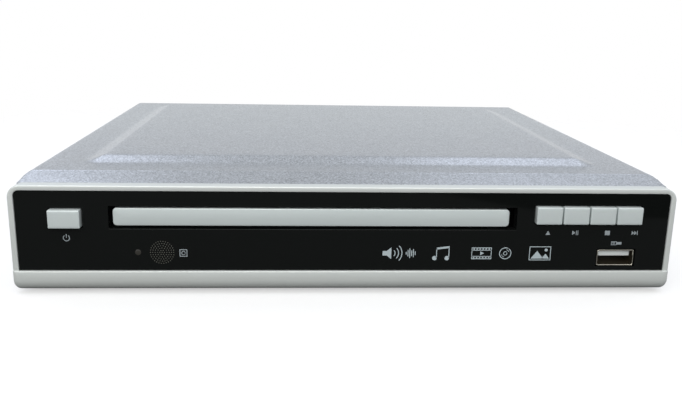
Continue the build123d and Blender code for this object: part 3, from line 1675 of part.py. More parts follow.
def electronics():
    """Boards, sockets, power supply, wiring and inner screws."""
    keep("main_board", level_board(main_x, main_y, main_screw_places()))
    keep("supply_board", level_board(supply_x, supply_y, supply_screw_places()))
    board_screws = main_screw_places() + supply_screw_places()
    posts = [standoff(at, board_low) for at in board_screws]
    posts += [standoff(at, frame_bottom) for at in lug_places()]
    keep("standoffs", *posts)
    jacks()
    scart()
    mains_inlet()
    supply_parts()
    main_parts()
    keep("front_ribbon", front_ribbon())
    keep("mains_leads", mains_lead(-1), mains_lead(1))
    inner = [screw((*at, board_top), (0, 0, 1), board_screw_grip) for at in board_screws]
    for at in lug_places():
        inner.append(screw((*at, frame_bottom + lug_thick), (0, 0, 1), board_screw_grip))
    for at in bridge_screw_places():
        inner.append(screw((*at, bridge_top), (0, 0, 1), board_screw_grip))
    for x, z in front_screw_places():
        inner.append(screw((x, front_board_back + board, z), (0, 1, 0), screw_grip))
    keep("inner_screws", *inner)
    sockets = [screw((x, body_depth, z), (0, 1, 0), board_screw_grip) for x, z in socket_screw_places()]
    keep("socket_screws", *sockets)


# Everything, placed and written -----------------------------------------------------------------
housing()
controls()
loader()
electronics()
os.makedirs("parts", exist_ok=True)
for node, solids in pieces.items():
    placed = [Pos(0, front_shift, 0) * solid for solid in solids]
    export_step(placed[0] if len(placed) == 1 else Compound(children=placed), f"parts/{node}.step")
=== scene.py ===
"""Looks for a small silver disc player with a motor-driven tray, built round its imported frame.

Sizes in the classes are millimetres: X runs right, Z up, and a depth is measured back from the
face of the black window. Draft turns them into metres in the frame when it makes a mesh.
"""
import logging
import math
from collections.abc import Iterable, Mapping, Sequence
from dataclasses import dataclass, field
from enum import Enum
from typing import Any

import bmesh
import bpy
import numpy as np
from mathutils import Matrix


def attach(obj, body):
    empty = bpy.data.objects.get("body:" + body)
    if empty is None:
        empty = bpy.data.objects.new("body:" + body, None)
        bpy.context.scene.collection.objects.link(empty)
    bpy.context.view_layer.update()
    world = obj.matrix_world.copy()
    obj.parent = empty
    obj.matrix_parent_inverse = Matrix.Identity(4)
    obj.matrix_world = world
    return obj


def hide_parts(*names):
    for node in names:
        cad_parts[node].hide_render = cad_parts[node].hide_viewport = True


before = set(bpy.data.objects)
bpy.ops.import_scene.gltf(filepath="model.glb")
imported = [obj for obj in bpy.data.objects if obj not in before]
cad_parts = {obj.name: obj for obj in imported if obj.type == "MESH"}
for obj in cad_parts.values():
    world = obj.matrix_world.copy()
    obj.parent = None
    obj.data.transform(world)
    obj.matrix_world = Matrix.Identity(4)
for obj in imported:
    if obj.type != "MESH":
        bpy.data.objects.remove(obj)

log = logging.getLogger("disc_player")
METRES = 0.001  # in a millimetre
FRONT = -105.35  # where the window's face lies along Y, in millimetres
SAME_POINT = 1e-7  # metres between points that become one
SHORTEST_EDGE = 1e-8  # metres under which an edge goes
SOFTENED_FROM = 40.0  # degrees between two faces whose edge is softened
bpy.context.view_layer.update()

Pair = tuple[float, float]
Triple = tuple[float, float, float]


class Slot(Enum):
    """Names of the record's material slots; each new piece names one, but Draft.make doesn't use
    it.
    """

    PAINT = "silver_paint"
    SILVER = "silver_plastic"
    WINDOW = "window_black"
    STEEL = "screw_steel"
    METAL = "bright_metal"
    WHITE = "white_plastic"
    LAMP = "lamp_lens"


class Body(Enum):
    """The bodies that new pieces ride on."""

    PLAYER = "player"
    TRAY = "tray"
    POWER = "power_button"
    EJECT = "eject_button"
    PLAY = "play_button"
    STOP = "stop_button"
    SKIP = "skip_button"


# Shader maths -----------------------------------------------------------------------------------
class Signal:
    """A number that changes over a surface. Arithmetic on it adds Math nodes."""

    def __init__(self, shader: "Shader", socket: bpy.types.NodeSocket) -> None:
        """Wraps a socket of a shader."""
        self.shader = shader
        self.socket = socket

    def math(self, operation: str, *values: "Signal | float") -> "Signal":
        """Adds one Math node.

        Args:
            operation: The node's operation.
            values: Its inputs, in order.

        Returns:
            The node's result.
        """
        node = self.shader.node("ShaderNodeMath", {"operation": operation}, dict(enumerate(values)))
        return Signal(self.shader, node.outputs[0])

    def __add__(self, other: "Signal | float") -> "Signal":
        """The sum."""
        return self.math("ADD", self, other)

    def __radd__(self, other: float) -> "Signal":
        """The sum, with the number first."""
        return self.math("ADD", other, self)

    def __sub__(self, other: "Signal | float") -> "Signal":
        """The difference."""
        return self.math("SUBTRACT", self, other)

    def __rsub__(self, other: float) -> "Signal":
        """The difference, with the number first."""
        return self.math("SUBTRACT", other, self)

    def __mul__(self, other: "Signal | float") -> "Signal":
        """The product."""
        return self.math("MULTIPLY", self, other)

    def __rmul__(self, other: float) -> "Signal":
        """The product, with the number first."""
        return self.math("MULTIPLY", other, self)

    def __truediv__(self, other: "Signal | float") -> "Signal":
        """The quotient."""
        return self.math("DIVIDE", self, other)

    def __gt__(self, other: "Signal | float") -> "Signal":
        """One where this is greater, and zero elsewhere."""
        return self.math("GREATER_THAN", self, other)

    def __lt__(self, other: "Signal | float") -> "Signal":
        """One where this is less, and zero elsewhere."""
        return self.math("LESS_THAN", self, other)

    def __abs__(self) -> "Signal":
        """The size without its sign."""
        return self.math("ABSOLUTE", self)

    def part(self) -> "Signal":
        """What is left of the number after its whole part."""
        return self.math("FRACT", self)

    def between(self, low: float, high: float) -> "Signal":
        """Rises smoothly from zero to one, and stays there.

        Args:
            low: Where the rise starts.
            high: Where it ends.

        Returns:
            The eased share.
        """
        sockets = {"Value": self, "From Min": low, "From Max": high}
        node = self.shader.node("ShaderNodeMapRange", {"interpolation_type": "SMOOTHSTEP"}, sockets)
        return Signal(self.shader, node.outputs["Result"])

    def mix(self, first: Any, second: Any) -> "Signal":
        """Goes from one colour to another, with this as the share of the second.

        Args:
            first: The colour where this is zero.
            second: The colour where this is one.

        Returns:
            The colour.
        """
        settings = {"data_type": "RGBA", "clamp_factor": True}
        node = self.shader.node("ShaderNodeMix", settings, {0: self, 6: first, 7: second})
        return Signal(self.shader, node.outputs[2])


class Shader:
    """The node tree of a material or of the world, with one method that adds any node."""

    def __init__(self, owner: bpy.types.Material | bpy.types.World) -> None:
        """Empties the tree, and finds the place on the piece that its patterns read.

        Args:
            owner: The material or the world that the tree belongs to.
        """
        owner.use_nodes = True
        self.owner = owner
        self.tree = owner.node_tree
        self.tree.nodes.clear()
        self.place = self.node("ShaderNodeTexCoord").outputs["Object"]

    def node(
        self,
        kind: str,
        settings: Mapping[str, Any] | None = None,
        sockets: Mapping[str | int, Any] | None = None,
    ) -> bpy.types.Node:
        """Adds a node.

        Args:
            kind: The node's type.
            settings: Its settings, such as a Math node's operation, set before its sockets.
            sockets: The value, the link or the Signal of each socket, by name or by number.

        Returns:
            The node.
        """
        node = self.tree.nodes.new(kind)
        for key, value in (settings or {}).items():
            setattr(node, key, value)
        for key, value in (sockets or {}).items():
            source = value.socket if isinstance(value, Signal) else value
            if isinstance(source, bpy.types.NodeSocket):
                self.tree.links.new(source, node.inputs[key])
            else:
                node.inputs[key].default_value = source
        return node

    def axis(self, index: int) -> Signal:
        """The place along X, Y or Z in millimetres."""
        split = self.node("ShaderNodeSeparateXYZ", None, {0: self.place})
        return Signal(self, split.outputs[index]) * (1.0 / METRES)

    def stretched(self, scale: Triple) -> bpy.types.NodeSocket:
        """The place on the piece, drawn out by a factor along each axis."""
        sockets = {"Vector": self.place, "Scale": scale}
        return self.node("ShaderNodeMapping", None, sockets).outputs[0]

    def noise(self, size: float, detail: float = 2.0, place: Any = None) -> Signal:
        """Smooth noise about 0.5 whose features are size millimetres across."""
        sockets = {"Vector": place or self.place, "Scale": 1.0 / (size * METRES), "Detail": detail}
        return Signal(self, self.node("ShaderNodeTexNoise", None, sockets).outputs[0])

    def cells(self, size: float, place: Any = None) -> Signal:
        """Fills the space with cells, and gives each a random number.

        Args:
            size: How many millimetres across a cell is.
            place: The place on the piece, where it isn't the plain one.

        Returns:
            The cell's number, from zero to one.
        """
        sockets = {"Vector": place or self.place, "Scale": 1.0 / (size * METRES)}
        node = self.node("ShaderNodeTexVoronoi", None, sockets)
        split = self.node("ShaderNodeSeparateColor", None, {0: node.outputs["Color"]})
        return Signal(self, split.outputs[0])

    def relief(self, height: Signal, depth: float) -> bpy.types.NodeSocket:
        """The normal of a surface whose height signal is depth millimetres from zero to one."""
        sockets = {"Height": height, "Distance": depth * METRES, "Strength": 1.0}
        return self.node("ShaderNodeBump", None, sockets).outputs[0]

    def ray(self, *kinds: str) -> Signal:
        """Tells light paths apart.

        Args:
            kinds: Kinds of light path, such as Is Camera Ray.

        Returns:
            One for light paths of these kinds, and zero for the others.
        """
        path = self.node("ShaderNodeLightPath")
        found = Signal(self, path.outputs[kinds[0]])
        for kind in kinds[1:]:
            found = found.math("MAXIMUM", found, Signal(self, path.outputs[kind]))
        return found

    def finish(self, sockets: Mapping[str, Any]) -> bpy.types.Material:
        """Gives the material its one surface shader.

        Args:
            sockets: The shader's sockets, by name, with the values or Signals that they get.

        Returns:
            The material.
        """
        surface = self.node("ShaderNodeBsdfPrincipled", None, sockets)
        self.node("ShaderNodeOutputMaterial", None, {"Surface": surface.outputs[0]})
        return self.owner


def linear(tone: Sequence[float], gain: float = 1.0) -> tuple[float, float, float, float]:
    """A colour as Blender wants it.

    Args:
        tone: Red, green and blue as a screen shows them, from 0 to 255.
        gain: What the light of the colour is multiplied by.

    Returns:
        The colour in linear light with an alpha of one.
    """
    share = np.asarray(tone, float) / 255.0
    light = np.where(share <= 0.04045, share / 12.92, ((share + 0.055) / 1.055) ** 2.4)
    return (*np.clip(light * gain, 0.0, 1.0).tolist(), 1.0)


# Finishes ---------------------------------------------------------------------------------------
@dataclass(frozen=True)
class Moulded:
    """A moulded plastic: patches and grain in its colour, and the texture of its mould."""

    name: str
    tone: Triple
    roughness: float = 0.45
    metallic: float = 0.0
    gloss: float = 0.5
    patches: float = 0.05
    patch_size: float = 14.0
    grain: float = 0.05
    grain_size: float = 0.35
    texture: float = 0.012
    texture_size: float = 0.5
    wear: float = 0.1

    def shade(self, shader: Shader) -> Any:
        """The tone, lighter and darker in patches and in grain.

        Args:
            shader: The shader of the material.

        Returns:
            The colour over the surface.
        """
        wide = shader.noise(self.patch_size)
        fine = shader.cells(self.grain_size)
        spread = self.patches + self.grain
        share = wide * self.patches + fine * self.grain + (0.5 - 0.5 * spread)
        return share.mix(linear(self.tone, 1.0 - spread), linear(self.tone, 1.0 + spread))

    def rough(self, shader: Shader) -> Any:
        """The roughness over the surface, a little more and less in patches."""
        return shader.noise(self.patch_size / 3.0) * self.wear + (self.roughness - self.wear / 2.0)

    def bumps(self, shader: Shader) -> Signal:
        """The height of the surface's fine texture, from zero to one."""
        return shader.noise(self.texture_size, 3.0)

    def extras(self) -> dict[str, Any]:
        """Sockets that hold one value all over the surface."""
        return {"Metallic": self.metallic, "Specular IOR Level": self.gloss}

    def material(self) -> bpy.types.Material:
        """Makes the finish's material the first time, and finds it again after that.

        Returns:
            The material.
        """
        found = bpy.data.materials.get(self.name)
        if found is not None:
            return found
        shader = Shader(bpy.data.materials.new(self.name))
        sockets = {
            "Base Color": self.shade(shader),
            "Roughness": self.rough(shader),
            "Normal": shader.relief(self.bumps(shader), self.texture),
        }
        return shader.finish(sockets | self.extras())


@dataclass(frozen=True)
class FlakePaint(Moulded):
    """Silver paint: metal flakes under a thin clear coat, on sheet that isn't quite flat."""

    flake_size: float = 0.38
    flake: float = 0.55
    rear_tone: Triple = (190.0, 194.0, 195.0)
    fade: Pair = (-90.0, 60.0)
    coat: float = 0.25
    coat_roughness: float = 0.2

    def shade(self, shader: Shader) -> Any:
        """Each flake is lighter or darker, and the tone turns warmer towards the back.

        Args:
            shader: The shader of the material.

        Returns:
            The colour over the surface.
        """
        flakes = shader.cells(self.flake_size)
        wide = shader.noise(self.patch_size)
        spread = self.flake + self.patches
        share = flakes * self.flake + wide * self.patches + (0.5 - 0.5 * spread)
        back = shader.axis(1).between(*self.fade)
        dark = back.mix(linear(self.tone, 1.0 - spread), linear(self.rear_tone, 1.0 - spread))
        light = back.mix(linear(self.tone, 1.0 + spread), linear(self.rear_tone, 1.0 + spread))
        return share.mix(dark, light)

    def extras(self) -> dict[str, Any]:
        """A clear coat as well."""
        coat = {"Coat Weight": self.coat, "Coat Roughness": self.coat_roughness}
        return super().extras() | coat


@dataclass(frozen=True)
class ZincSheet(Moulded):
    """Galvanised sheet: crystals of zinc that differ in tone and in shine."""

    crystal_size: float = 5.0
    crystal: float = 0.3
    streak_size: float = 2.0
    streak: float = 0.4
    shine: float = 0.15

    def shade(self, shader: Shader) -> Any:
        """A tone for each crystal, streaked along the sheet's rolling direction.

        Args:
            shader: The shader of the material.

        Returns:
            The colour over the surface.
        """
        crystals = shader.cells(self.crystal_size)
        streaks = shader.noise(self.streak_size, 3.0, shader.stretched((1.0, 0.1, 1.0)))
        share = crystals * (1.0 - self.streak) + streaks * self.streak
        dark, light = linear(self.tone, 1.0 - self.crystal), linear(self.tone, 1.0 + self.crystal)
        return share.mix(dark, light)

    def rough(self, shader: Shader) -> Any:
        """Each crystal shines differently."""
        return shader.cells(self.crystal_size) * self.shine + (self.roughness - 0.07)


@dataclass(frozen=True)
class Brushed(Moulded):
    """Drawn or turned metal with fine lines along one direction."""

    along: Triple = (0.05, 1.0, 1.0)

    def bumps(self, shader: Shader) -> Signal:
        """Lines drawn out along one axis."""
        return shader.noise(self.texture_size, 4.0, shader.stretched(self.along))


@dataclass(frozen=True)
class BoardFinish(Moulded):
    """A circuit board: lacquer over copper tracks, and round pads."""

    track_tone: Triple = (38.0, 104.0, 62.0)
    pad_tone: Triple = (196.0, 190.0, 168.0)
    pitch: float = 2.54
    block_length: float = 0.35
    track_share: Pair = (0.52, 0.56)
    pad_reach: float = 0.2
    padless: float = 0.8

    def shade(self, shader: Shader) -> Any:
        """Tracks lie where blocky noise is high, and pads on a square raster.

        Args:
            shader: The shader of the material.

        Returns:
            The colour over the surface.
        """
        blocks = shader.cells(self.pitch * 1.5, shader.stretched((self.block_length, 1.0, 1.0)))
        track = blocks.between(*self.track_share)
        tracks = track.mix(linear(self.tone), linear(self.track_tone))
        offsets = [abs((shader.axis(i) / self.pitch).part() - 0.5) for i in (0, 1)]
        square = offsets[0] * offsets[0] + offsets[1] * offsets[1]
        pads = (square < self.pad_reach**2) * (shader.cells(self.pitch * 2.0) > self.padless)
        return pads.mix(tracks, linear(self.pad_tone))


@dataclass(frozen=True)
class Banded(Moulded):
    """A plastic whose tone changes at places along one axis, such as coloured inserts."""

    axis: int = 0
    stops: tuple[tuple[float, Triple], ...] = ()
    edge: float = 0.4

    def shade(self, shader: Shader) -> Any:
        """Each stop's tone takes over from the one before where its place begins.

        Args:
            shader: The shader of the material.

        Returns:
            The colour over the surface.
        """
        place = shader.axis(self.axis)
        colour: Any = super().shade(shader)
        half = self.edge / 2.0
        for start, tone in self.stops:
            colour = place.between(start - half, start + half).mix(colour, linear(tone))
        return colour


@dataclass(frozen=True)
class Striped(Moulded):
    """Equal wires or windings side by side along one axis."""

    axis: int = 0
    pitch: float = 1.27
    # How much darker the grooves are painted: painted shade between the wires.
    painted_groove_shade: float = 0.35
    crest: float = 0.7

    def shade(self, shader: Shader) -> Any:
        """The tone, darker in the grooves between wires: painted shade."""
        return self.ridge(shader).mix(linear(self.tone, 1.0 - self.painted_groove_shade), linear(self.tone))

    def ridge(self, shader: Shader) -> Signal:
        """One along the top of each wire and zero midway between two wires."""
        return 1.0 - abs((shader.axis(self.axis) / self.pitch).part() - 0.5) * 2.0

    def bumps(self, shader: Shader) -> Signal:
        """Round wires, flat at their crests."""
        return self.ridge(shader).between(0.0, self.crest)


COVER_PAINT = FlakePaint(
    "cover_paint", (179, 182, 185), 0.36, metallic=0.7, patches=0.03, patch_size=40.0,
    texture=0.0015, texture_size=1.4,
)
BEZEL_SILVER = Moulded(
    "bezel_silver", (212, 216, 213), 0.36, metallic=0.3, patches=0.02, patch_size=30.0,
    grain=0.05, texture=0.004, texture_size=0.9,
)
KEY_SILVER = Moulded(
    "key_silver", (206, 214, 213), 0.38, metallic=0.3, patches=0.02, grain=0.06,
    texture=0.004, texture_size=0.6,
)
WINDOW_GLOSS = Moulded(
    "window_gloss", (15, 17, 16), 0.06, gloss=0.24, patches=0.08, patch_size=60.0, grain=0.03,
    texture=0.0006, texture_size=6.0,
)
# Painted shade: the silver moulding's wall behind the window and the sides of its openings,
# coloured near black.
RECESS_PAINTED_SHADE = Moulded("recess_painted_shade", (10, 11, 11), 0.6, gloss=0.2, texture=0.02)
INK_PALE = Moulded("ink_pale", (176, 188, 192), 0.5, grain=0.1, grain_size=0.12, texture=0.002)
INK_GREY = Moulded("ink_grey", (146, 154, 158), 0.5, grain=0.1, grain_size=0.12, texture=0.002)
INK_DIM = Moulded("ink_dim", (84, 84, 76), 0.6, grain=0.1, texture=0.002)
SOCKET_METAL = Brushed("socket_metal", (240, 234, 218), 0.22, metallic=1.0, texture=0.003)
# Painted shade: the inner walls and floor of the data socket's shell, the same sheet as its bright
# lip, coloured dark brown.
SOCKET_PAINTED_SHADE = Moulded("socket_painted_shade", (52, 46, 34), 0.5, metallic=0.3, texture=0.01)
CONTACT_GOLD = Brushed("contact_gold", (214, 178, 104), 0.25, metallic=1.0, texture=0.002)
TONGUE_WHITE = Moulded("tongue_white", (212, 217, 216), 0.4, texture=0.004)
LAMP_SMOKE = Moulded("lamp_smoke", (52, 50, 46), 0.3, gloss=0.4, texture=0.002)
SCREW_PLATE = Brushed("screw_plate", (188, 190, 192), 0.3, metallic=1.0, texture=0.004)
ZINC = ZincSheet("zinc", (168, 172, 174), 0.38, metallic=0.9, texture=0.008, texture_size=2.0)
RUBBER = Moulded("foot_rubber", (26, 26, 27), 0.85, gloss=0.3, texture=0.05, texture_size=0.4)
BELT = Moulded("belt_black", (22, 22, 23), 0.7, gloss=0.35, texture=0.01)
TRAY_DARK = Moulded("tray_dark", (44, 45, 48), 0.5, texture=0.02, texture_size=0.35)
LOADER_BLACK = Moulded("loader_black", (30, 30, 32), 0.5, texture=0.02, texture_size=0.4)
PART_BLACK = Moulded("part_black", (24, 24, 26), 0.42, texture=0.015, texture_size=0.4)
GEAR_WHITE = Moulded("gear_white", (222, 220, 210), 0.35, texture=0.006)
SLED_GREY = Moulded("sled_grey", (112, 114, 118), 0.42, metallic=0.5, texture=0.02)
BRIGHT = Brushed("bright_metal", (196, 198, 200), 0.24, metallic=1.0, texture=0.004)
ALUMINIUM = Brushed("aluminium", (170, 172, 176), 0.4, metallic=1.0, texture=0.006)
GLASS = Moulded("lens_blue", (60, 74, 110), 0.06, gloss=0.8, texture=0.0)
BOARD = BoardFinish("board_green", (22, 70, 42), 0.3, texture=0.01)
# Painted shade: the front board, seen through the gaps round the tray, coloured near black.
FRONT_BOARD_PAINTED_SHADE = BoardFinish(
    "front_board_painted_shade", (12, 13, 13), 0.4, track_tone=(18, 20, 19), pad_tone=(90, 88, 80), texture=0.01
)
SLEEVE = Banded(
    "can_sleeve", (34, 40, 66), 0.35, axis=2, stops=((19.3, (182, 184, 186)),), texture=0.004
)
JACK_INSERTS = Banded(
    "jack_inserts", (214, 182, 34), 0.4, axis=0,
    stops=((26.0, (226, 224, 218)), (40.0, (176, 30, 32))), texture=0.004,
)
COPPER = Striped(
    "copper_winding", (178, 108, 58), 0.35, metallic=0.8, axis=2, pitch=0.5, texture=0.05
)
RIBBON = Striped("ribbon_grey", (170, 172, 172), 0.45, axis=0, pitch=1.0, texture=0.05)

# The finish of each of the record's material slots, and of the nodes that have one of their own.
CAD_FINISHES: dict[str, Moulded] = {
    "silver_paint": COVER_PAINT,
    "silver_plastic": BEZEL_SILVER,
    "window_black": WINDOW_GLOSS,
    "zinc_sheet": ZINC,
    "rubber": RUBBER,
    "screw_steel": SCREW_PLATE,
    "board_green": BOARD,
    "dark_plastic": TRAY_DARK,
    "black_plastic": PART_BLACK,
    "white_plastic": GEAR_WHITE,
    "grey_plastic": SLED_GREY,
    "bright_metal": BRIGHT,
    "lamp_lens": LAMP_SMOKE,
    "belt_rubber": BELT,
    "aluminium": ALUMINIUM,
    "lens_glass": GLASS,
    "jack_colours": JACK_INSERTS,
    "copper_winding": COPPER,
    "can_sleeve": SLEEVE,
    "cable_grey": RIBBON,
}
NODE_FINISHES: dict[str, Moulded] = {"loader_frame": LOADER_BLACK, "front_board": FRONT_BOARD_PAINTED_SHADE}


# Surfaces ---------------------------------------------------------------------------------------
def turn(start: float, end: float, steps: int) -> np.ndarray:
    """Angles in radians from start to end degrees, in equal steps."""
    return np.radians(np.linspace(start, end, steps + 1))


def rounded_loop(width: float, height: float, radius: float, steps: int = 5) -> np.ndarray:
    """A rectangle with round corners, once round anticlockwise.

    Each point is a corner's centre plus the radius along a direction, and the directions turn
    through a quarter circle at each corner.

    Args:
        width: Its width.
        height: Its height.
        radius: The radius of its corners.
        steps: How many steps round each corner.

    Returns:
        The points, as an array of 4 * (steps + 1) rows of (x, z).
    """
    radius = min(radius, width / 2.0, height / 2.0)
    angles = np.stack([turn(90.0 * k, 90.0 * k + 90.0, steps) for k in range(4)])
    side = np.array([[1, 1], [-1, 1], [-1, -1], [1, -1]], float)[:, None, :]
    core = side * np.array([width / 2.0 - radius, height / 2.0 - radius])
    ring = core + radius * np.stack([np.cos(angles), np.sin(angles)], -1)
    return ring.reshape(-1, 2)


def facing(
    centre: Pair, size: Pair, radius: float, profile: Iterable[Pair], steps: int = 5
) -> np.ndarray:
    """A form seen from the front as a rounded rectangle, closed to a line at its middle.

    Ring k is the rectangle drawn in by the profile's inset k, at the profile's depth k.

    Args:
        centre: Its middle (x, z).
        size: Its width and height.
        radius: The radius of its corners.
        profile: Each ring's inset from the outline and depth.
        steps: Steps round each corner.

    Returns:
        Points on a grid of rings by places round the outline.
    """
    rings = []
    for inset, depth in profile:
        loop = rounded_loop(
            max(size[0] - 2.0 * inset, 0.0), max(size[1] - 2.0 * inset, 0.0),
            max(radius - inset, 0.0), steps,
        )
        x, z = loop[:, 0] + centre[0], loop[:, 1] + centre[1]
        rings.append(np.column_stack([x, np.full(len(loop), depth), z]))
    return np.stack(rings)


def rounded_block(low: Triple, high: Triple, radius: float, steps: int = 2) -> np.ndarray:
    """A box with round edges.

    Each direction of a sphere, times the radius, is added to the corner of the smaller box on
    its side, and the middles of the top and bottom close it.

    Args:
        low: Its lowest corner.
        high: Its highest corner.
        radius: The radius of its edges.
        steps: Steps round each edge.

    Returns:
        Points on a grid of latitudes by longitudes, closed in longitude.
    """
    low_corner, high_corner = np.array(low, float), np.array(high, float)
    centre, half = (low_corner + high_corner) / 2.0, (high_corner - low_corner) / 2.0
    arc = turn(0.0, 90.0, steps)
    longitude = np.concatenate([arc + k * math.pi / 2.0 for k in range(4)])
    latitude = np.concatenate([arc - math.pi / 2.0, arc])
    side_x = np.repeat([1.0, -1.0, -1.0, 1.0], len(arc))
    side_y = np.repeat([1.0, 1.0, -1.0, -1.0], len(arc))
    side_z = np.repeat([-1.0, 1.0], len(arc))
    shape = (len(latitude), len(longitude))
    sides = np.stack([np.broadcast_to(side_x, shape), np.broadcast_to(side_y, shape),
                      np.broadcast_to(side_z[:, None], shape)], -1)
    lat, lon = np.meshgrid(latitude, longitude, indexing="ij")
    ways = np.stack([np.cos(lat) * np.cos(lon), np.cos(lat) * np.sin(lon), np.sin(lat)], -1)
    body = centre + sides * (half - radius) + radius * ways
    ends = np.repeat(centre[None, None, :], 2, 0) + np.array([[[0, 0, -1]], [[0, 0, 1]]]) * half
    caps = np.broadcast_to(ends, (2, shape[1], 3))
    return np.concatenate([caps[:1], body, caps[1:]])


def turned(profile: Sequence[Pair], steps: int = 24) -> np.ndarray:
    """A turned form: each point of the profile is carried once round the Z axis.

    Args:
        profile: The profile's points, as (radius, height).
        steps: Steps once round.

    Returns:
        Points on a grid of profile points by angles, closed in angle.
    """
    radius, height = np.array(profile, float).T
    angle = np.linspace(0.0, 2.0 * math.pi, steps, endpoint=False)
    return np.stack([radius[:, None] * np.cos(angle), radius[:, None] * np.sin(angle),
                     np.broadcast_to(height[:, None], (len(radius), steps))], -1)


def laid(points: np.ndarray, place: Triple, axis: Triple) -> np.ndarray:
    """Carries a form built round Z to a place, and turns its Z to an axis.

    A point is the place plus its x, y and z along three directions at right angles, the last
    of them the axis.

    Args:
        points: The form's points.
        place: Where its origin goes.
        axis: Where its Z points, as a direction of length one.

    Returns:
        The points in their new place.
    """
    way = np.array(axis, float)
    other = np.array([1.0, 0.0, 0.0]) if abs(way[0]) < 0.5 else np.array([0.0, 1.0, 0.0])
    right = np.cross(other, way)
    right /= np.linalg.norm(right)
    return points @ np.stack([right, np.cross(way, right), way]) + np.array(place, float)


class Draft:
    """A piece in the making: surfaces in millimetres, each with the number of its finish."""

    def __init__(self, name: str) -> None:
        """Starts a piece with no surface.

        Args:
            name: The piece's name.
        """
        self.name = name
        self.points: list[np.ndarray] = []
        self.faces: list[list[int]] = []
        self.tones: list[int] = []
        self.count = 0

    def add(self, points: np.ndarray, faces: Iterable[Sequence[int]], tone: int = 0) -> None:
        """Adds points and the faces between them.

        Args:
            points: The points, as (x, depth, z).
            faces: Each face's points, by number.
            tone: The number of their finish.
        """
        rows = [[i + self.count for i in face] for face in faces]
        self.points.append(points.reshape(-1, 3))
        self.faces += rows
        self.tones += [tone] * len(rows)
        self.count += points.size // 3

    def grid(
        self,
        points: np.ndarray,
        round_columns: bool = False,
        keep: np.ndarray | None = None,
        tone: int = 0,
    ) -> None:
        """Adds a surface whose points lie on a grid.

        Args:
            points: The points, as rows by columns by 3.
            round_columns: Whether the last column joins the first.
            keep: Which of the grid's cells have a face, where not all of them do.
            tone: The number of its finish.
        """
        rows, columns = points.shape[:2]
        cells = columns if round_columns else columns - 1
        row, here = np.meshgrid(np.arange(rows - 1) * columns, np.arange(cells), indexing="ij")
        after, next_row = (here + 1) % columns, row + columns
        quads = np.stack([row + here, next_row + here, next_row + after, row + after], -1)
        chosen = quads.reshape(-1, 4) if keep is None else quads[keep]
        self.add(points, chosen.tolist(), tone)

    def sharpen_rim(self, mesh: bpy.types.Mesh) -> None:
        """Keeps the edges with one face sharp, so that a wall's side doesn't shade its face.

        Args:
            mesh: The mesh, before it gets its wall.
        """
        sides = np.empty(len(mesh.loops), np.int32)
        mesh.loops.foreach_get("edge_index", sides)
        sharp = np.empty(len(mesh.edges), bool)
        mesh.edges.foreach_get("use_edge_sharp", sharp)
        rim = np.bincount(sides, minlength=len(sharp)) == 1
        mesh.edges.foreach_set("use_edge_sharp", sharp | rim)

    def make(
        self,
        body: Body,
        slot: Slot,
        finishes: Sequence[Moulded],
        replaces: Sequence[str] = (),
        closed: bool = True,
        wall: float = 0.0,
        soften: float = 0.0,
        crisp: float = 35.0,
    ) -> bpy.types.Object:
        """Makes the mesh, finishes it and sets it on its body.

        Args:
            body: The body that it rides on.
            slot: Not used.
            finishes: Its finishes, by the numbers that its surfaces name.
            replaces: The CAD nodes that it stands for.
            closed: Whether its surfaces close, so that outside can be found.
            wall: The thickness that it is given inwards.
            soften: The width of the small bevel that its edges get.
            crisp: The angle in degrees above which an edge stays sharp.

        Returns:
            The object.
        """
        points = np.concatenate(self.points) + np.array([0.0, FRONT, 0.0])
        mesh = bpy.data.meshes.new(self.name)
        mesh.from_pydata((points * METRES).tolist(), [], self.faces)
        mesh.polygons.foreach_set("material_index", np.array(self.tones, np.int32))
        work = bmesh.new()
        work.from_mesh(mesh)
        bmesh.ops.remove_doubles(work, verts=work.verts, dist=SAME_POINT)
        bmesh.ops.dissolve_degenerate(work, edges=work.edges, dist=SHORTEST_EDGE)
        if closed:
            bmesh.ops.recalc_face_normals(work, faces=work.faces)
        work.to_mesh(mesh)
        work.free()
        mesh.shade_smooth()
        mesh.set_sharp_from_angle(angle=math.radians(crisp))
        if wall:
            self.sharpen_rim(mesh)
        for finish in finishes:
            mesh.materials.append(finish.material())
        piece = bpy.data.objects.new(self.name, mesh)
        bpy.context.scene.collection.objects.link(piece)
        if wall:
            solid = piece.modifiers.new("wall", "SOLIDIFY")
            solid.thickness = wall * METRES
            solid.offset = -1.0
        if soften:
            bevel = piece.modifiers.new("soften", "BEVEL")
            bevel.width = soften * METRES
            bevel.segments = 2
            bevel.limit_method = "ANGLE"
            bevel.angle_limit = math.radians(SOFTENED_FROM)
            bevel.harden_normals = True
        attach(piece, body.value)
        if replaces:
            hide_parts(*replaces)
        log.info("%s: %d faces on %s", self.name, len(mesh.polygons), body.value)
        return piece


@dataclass
class Opening:
    """A rectangle cut in the front, by its middle and size."""

    middle: Pair
    size: Pair

    @property
    def x(self) -> Pair:
        """Its left and right sides."""
        return self.middle[0] - self.size[0] / 2.0, self.middle[0] + self.size[0] / 2.0

    @property
    def z(self) -> Pair:
        """Its lower and upper sides."""
        return self.middle[1] - self.size[1] / 2.0, self.middle[1] + self.size[1] / 2.0


MOUTH = Opening((-11.4, 26.8), (137.7, 7.8))
POWER_OPENING = Opening((-94.3, 26.6), (11.0, 6.8))
KEYS_OPENING = Opening((82.3, 28.35), (37.62, 6.5))
DATA_OPENING = Opening((93.3, 12.9), (13.9, 6.52))
OPENINGS = (MOUTH, POWER_OPENING, KEYS_OPENING, DATA_OPENING)


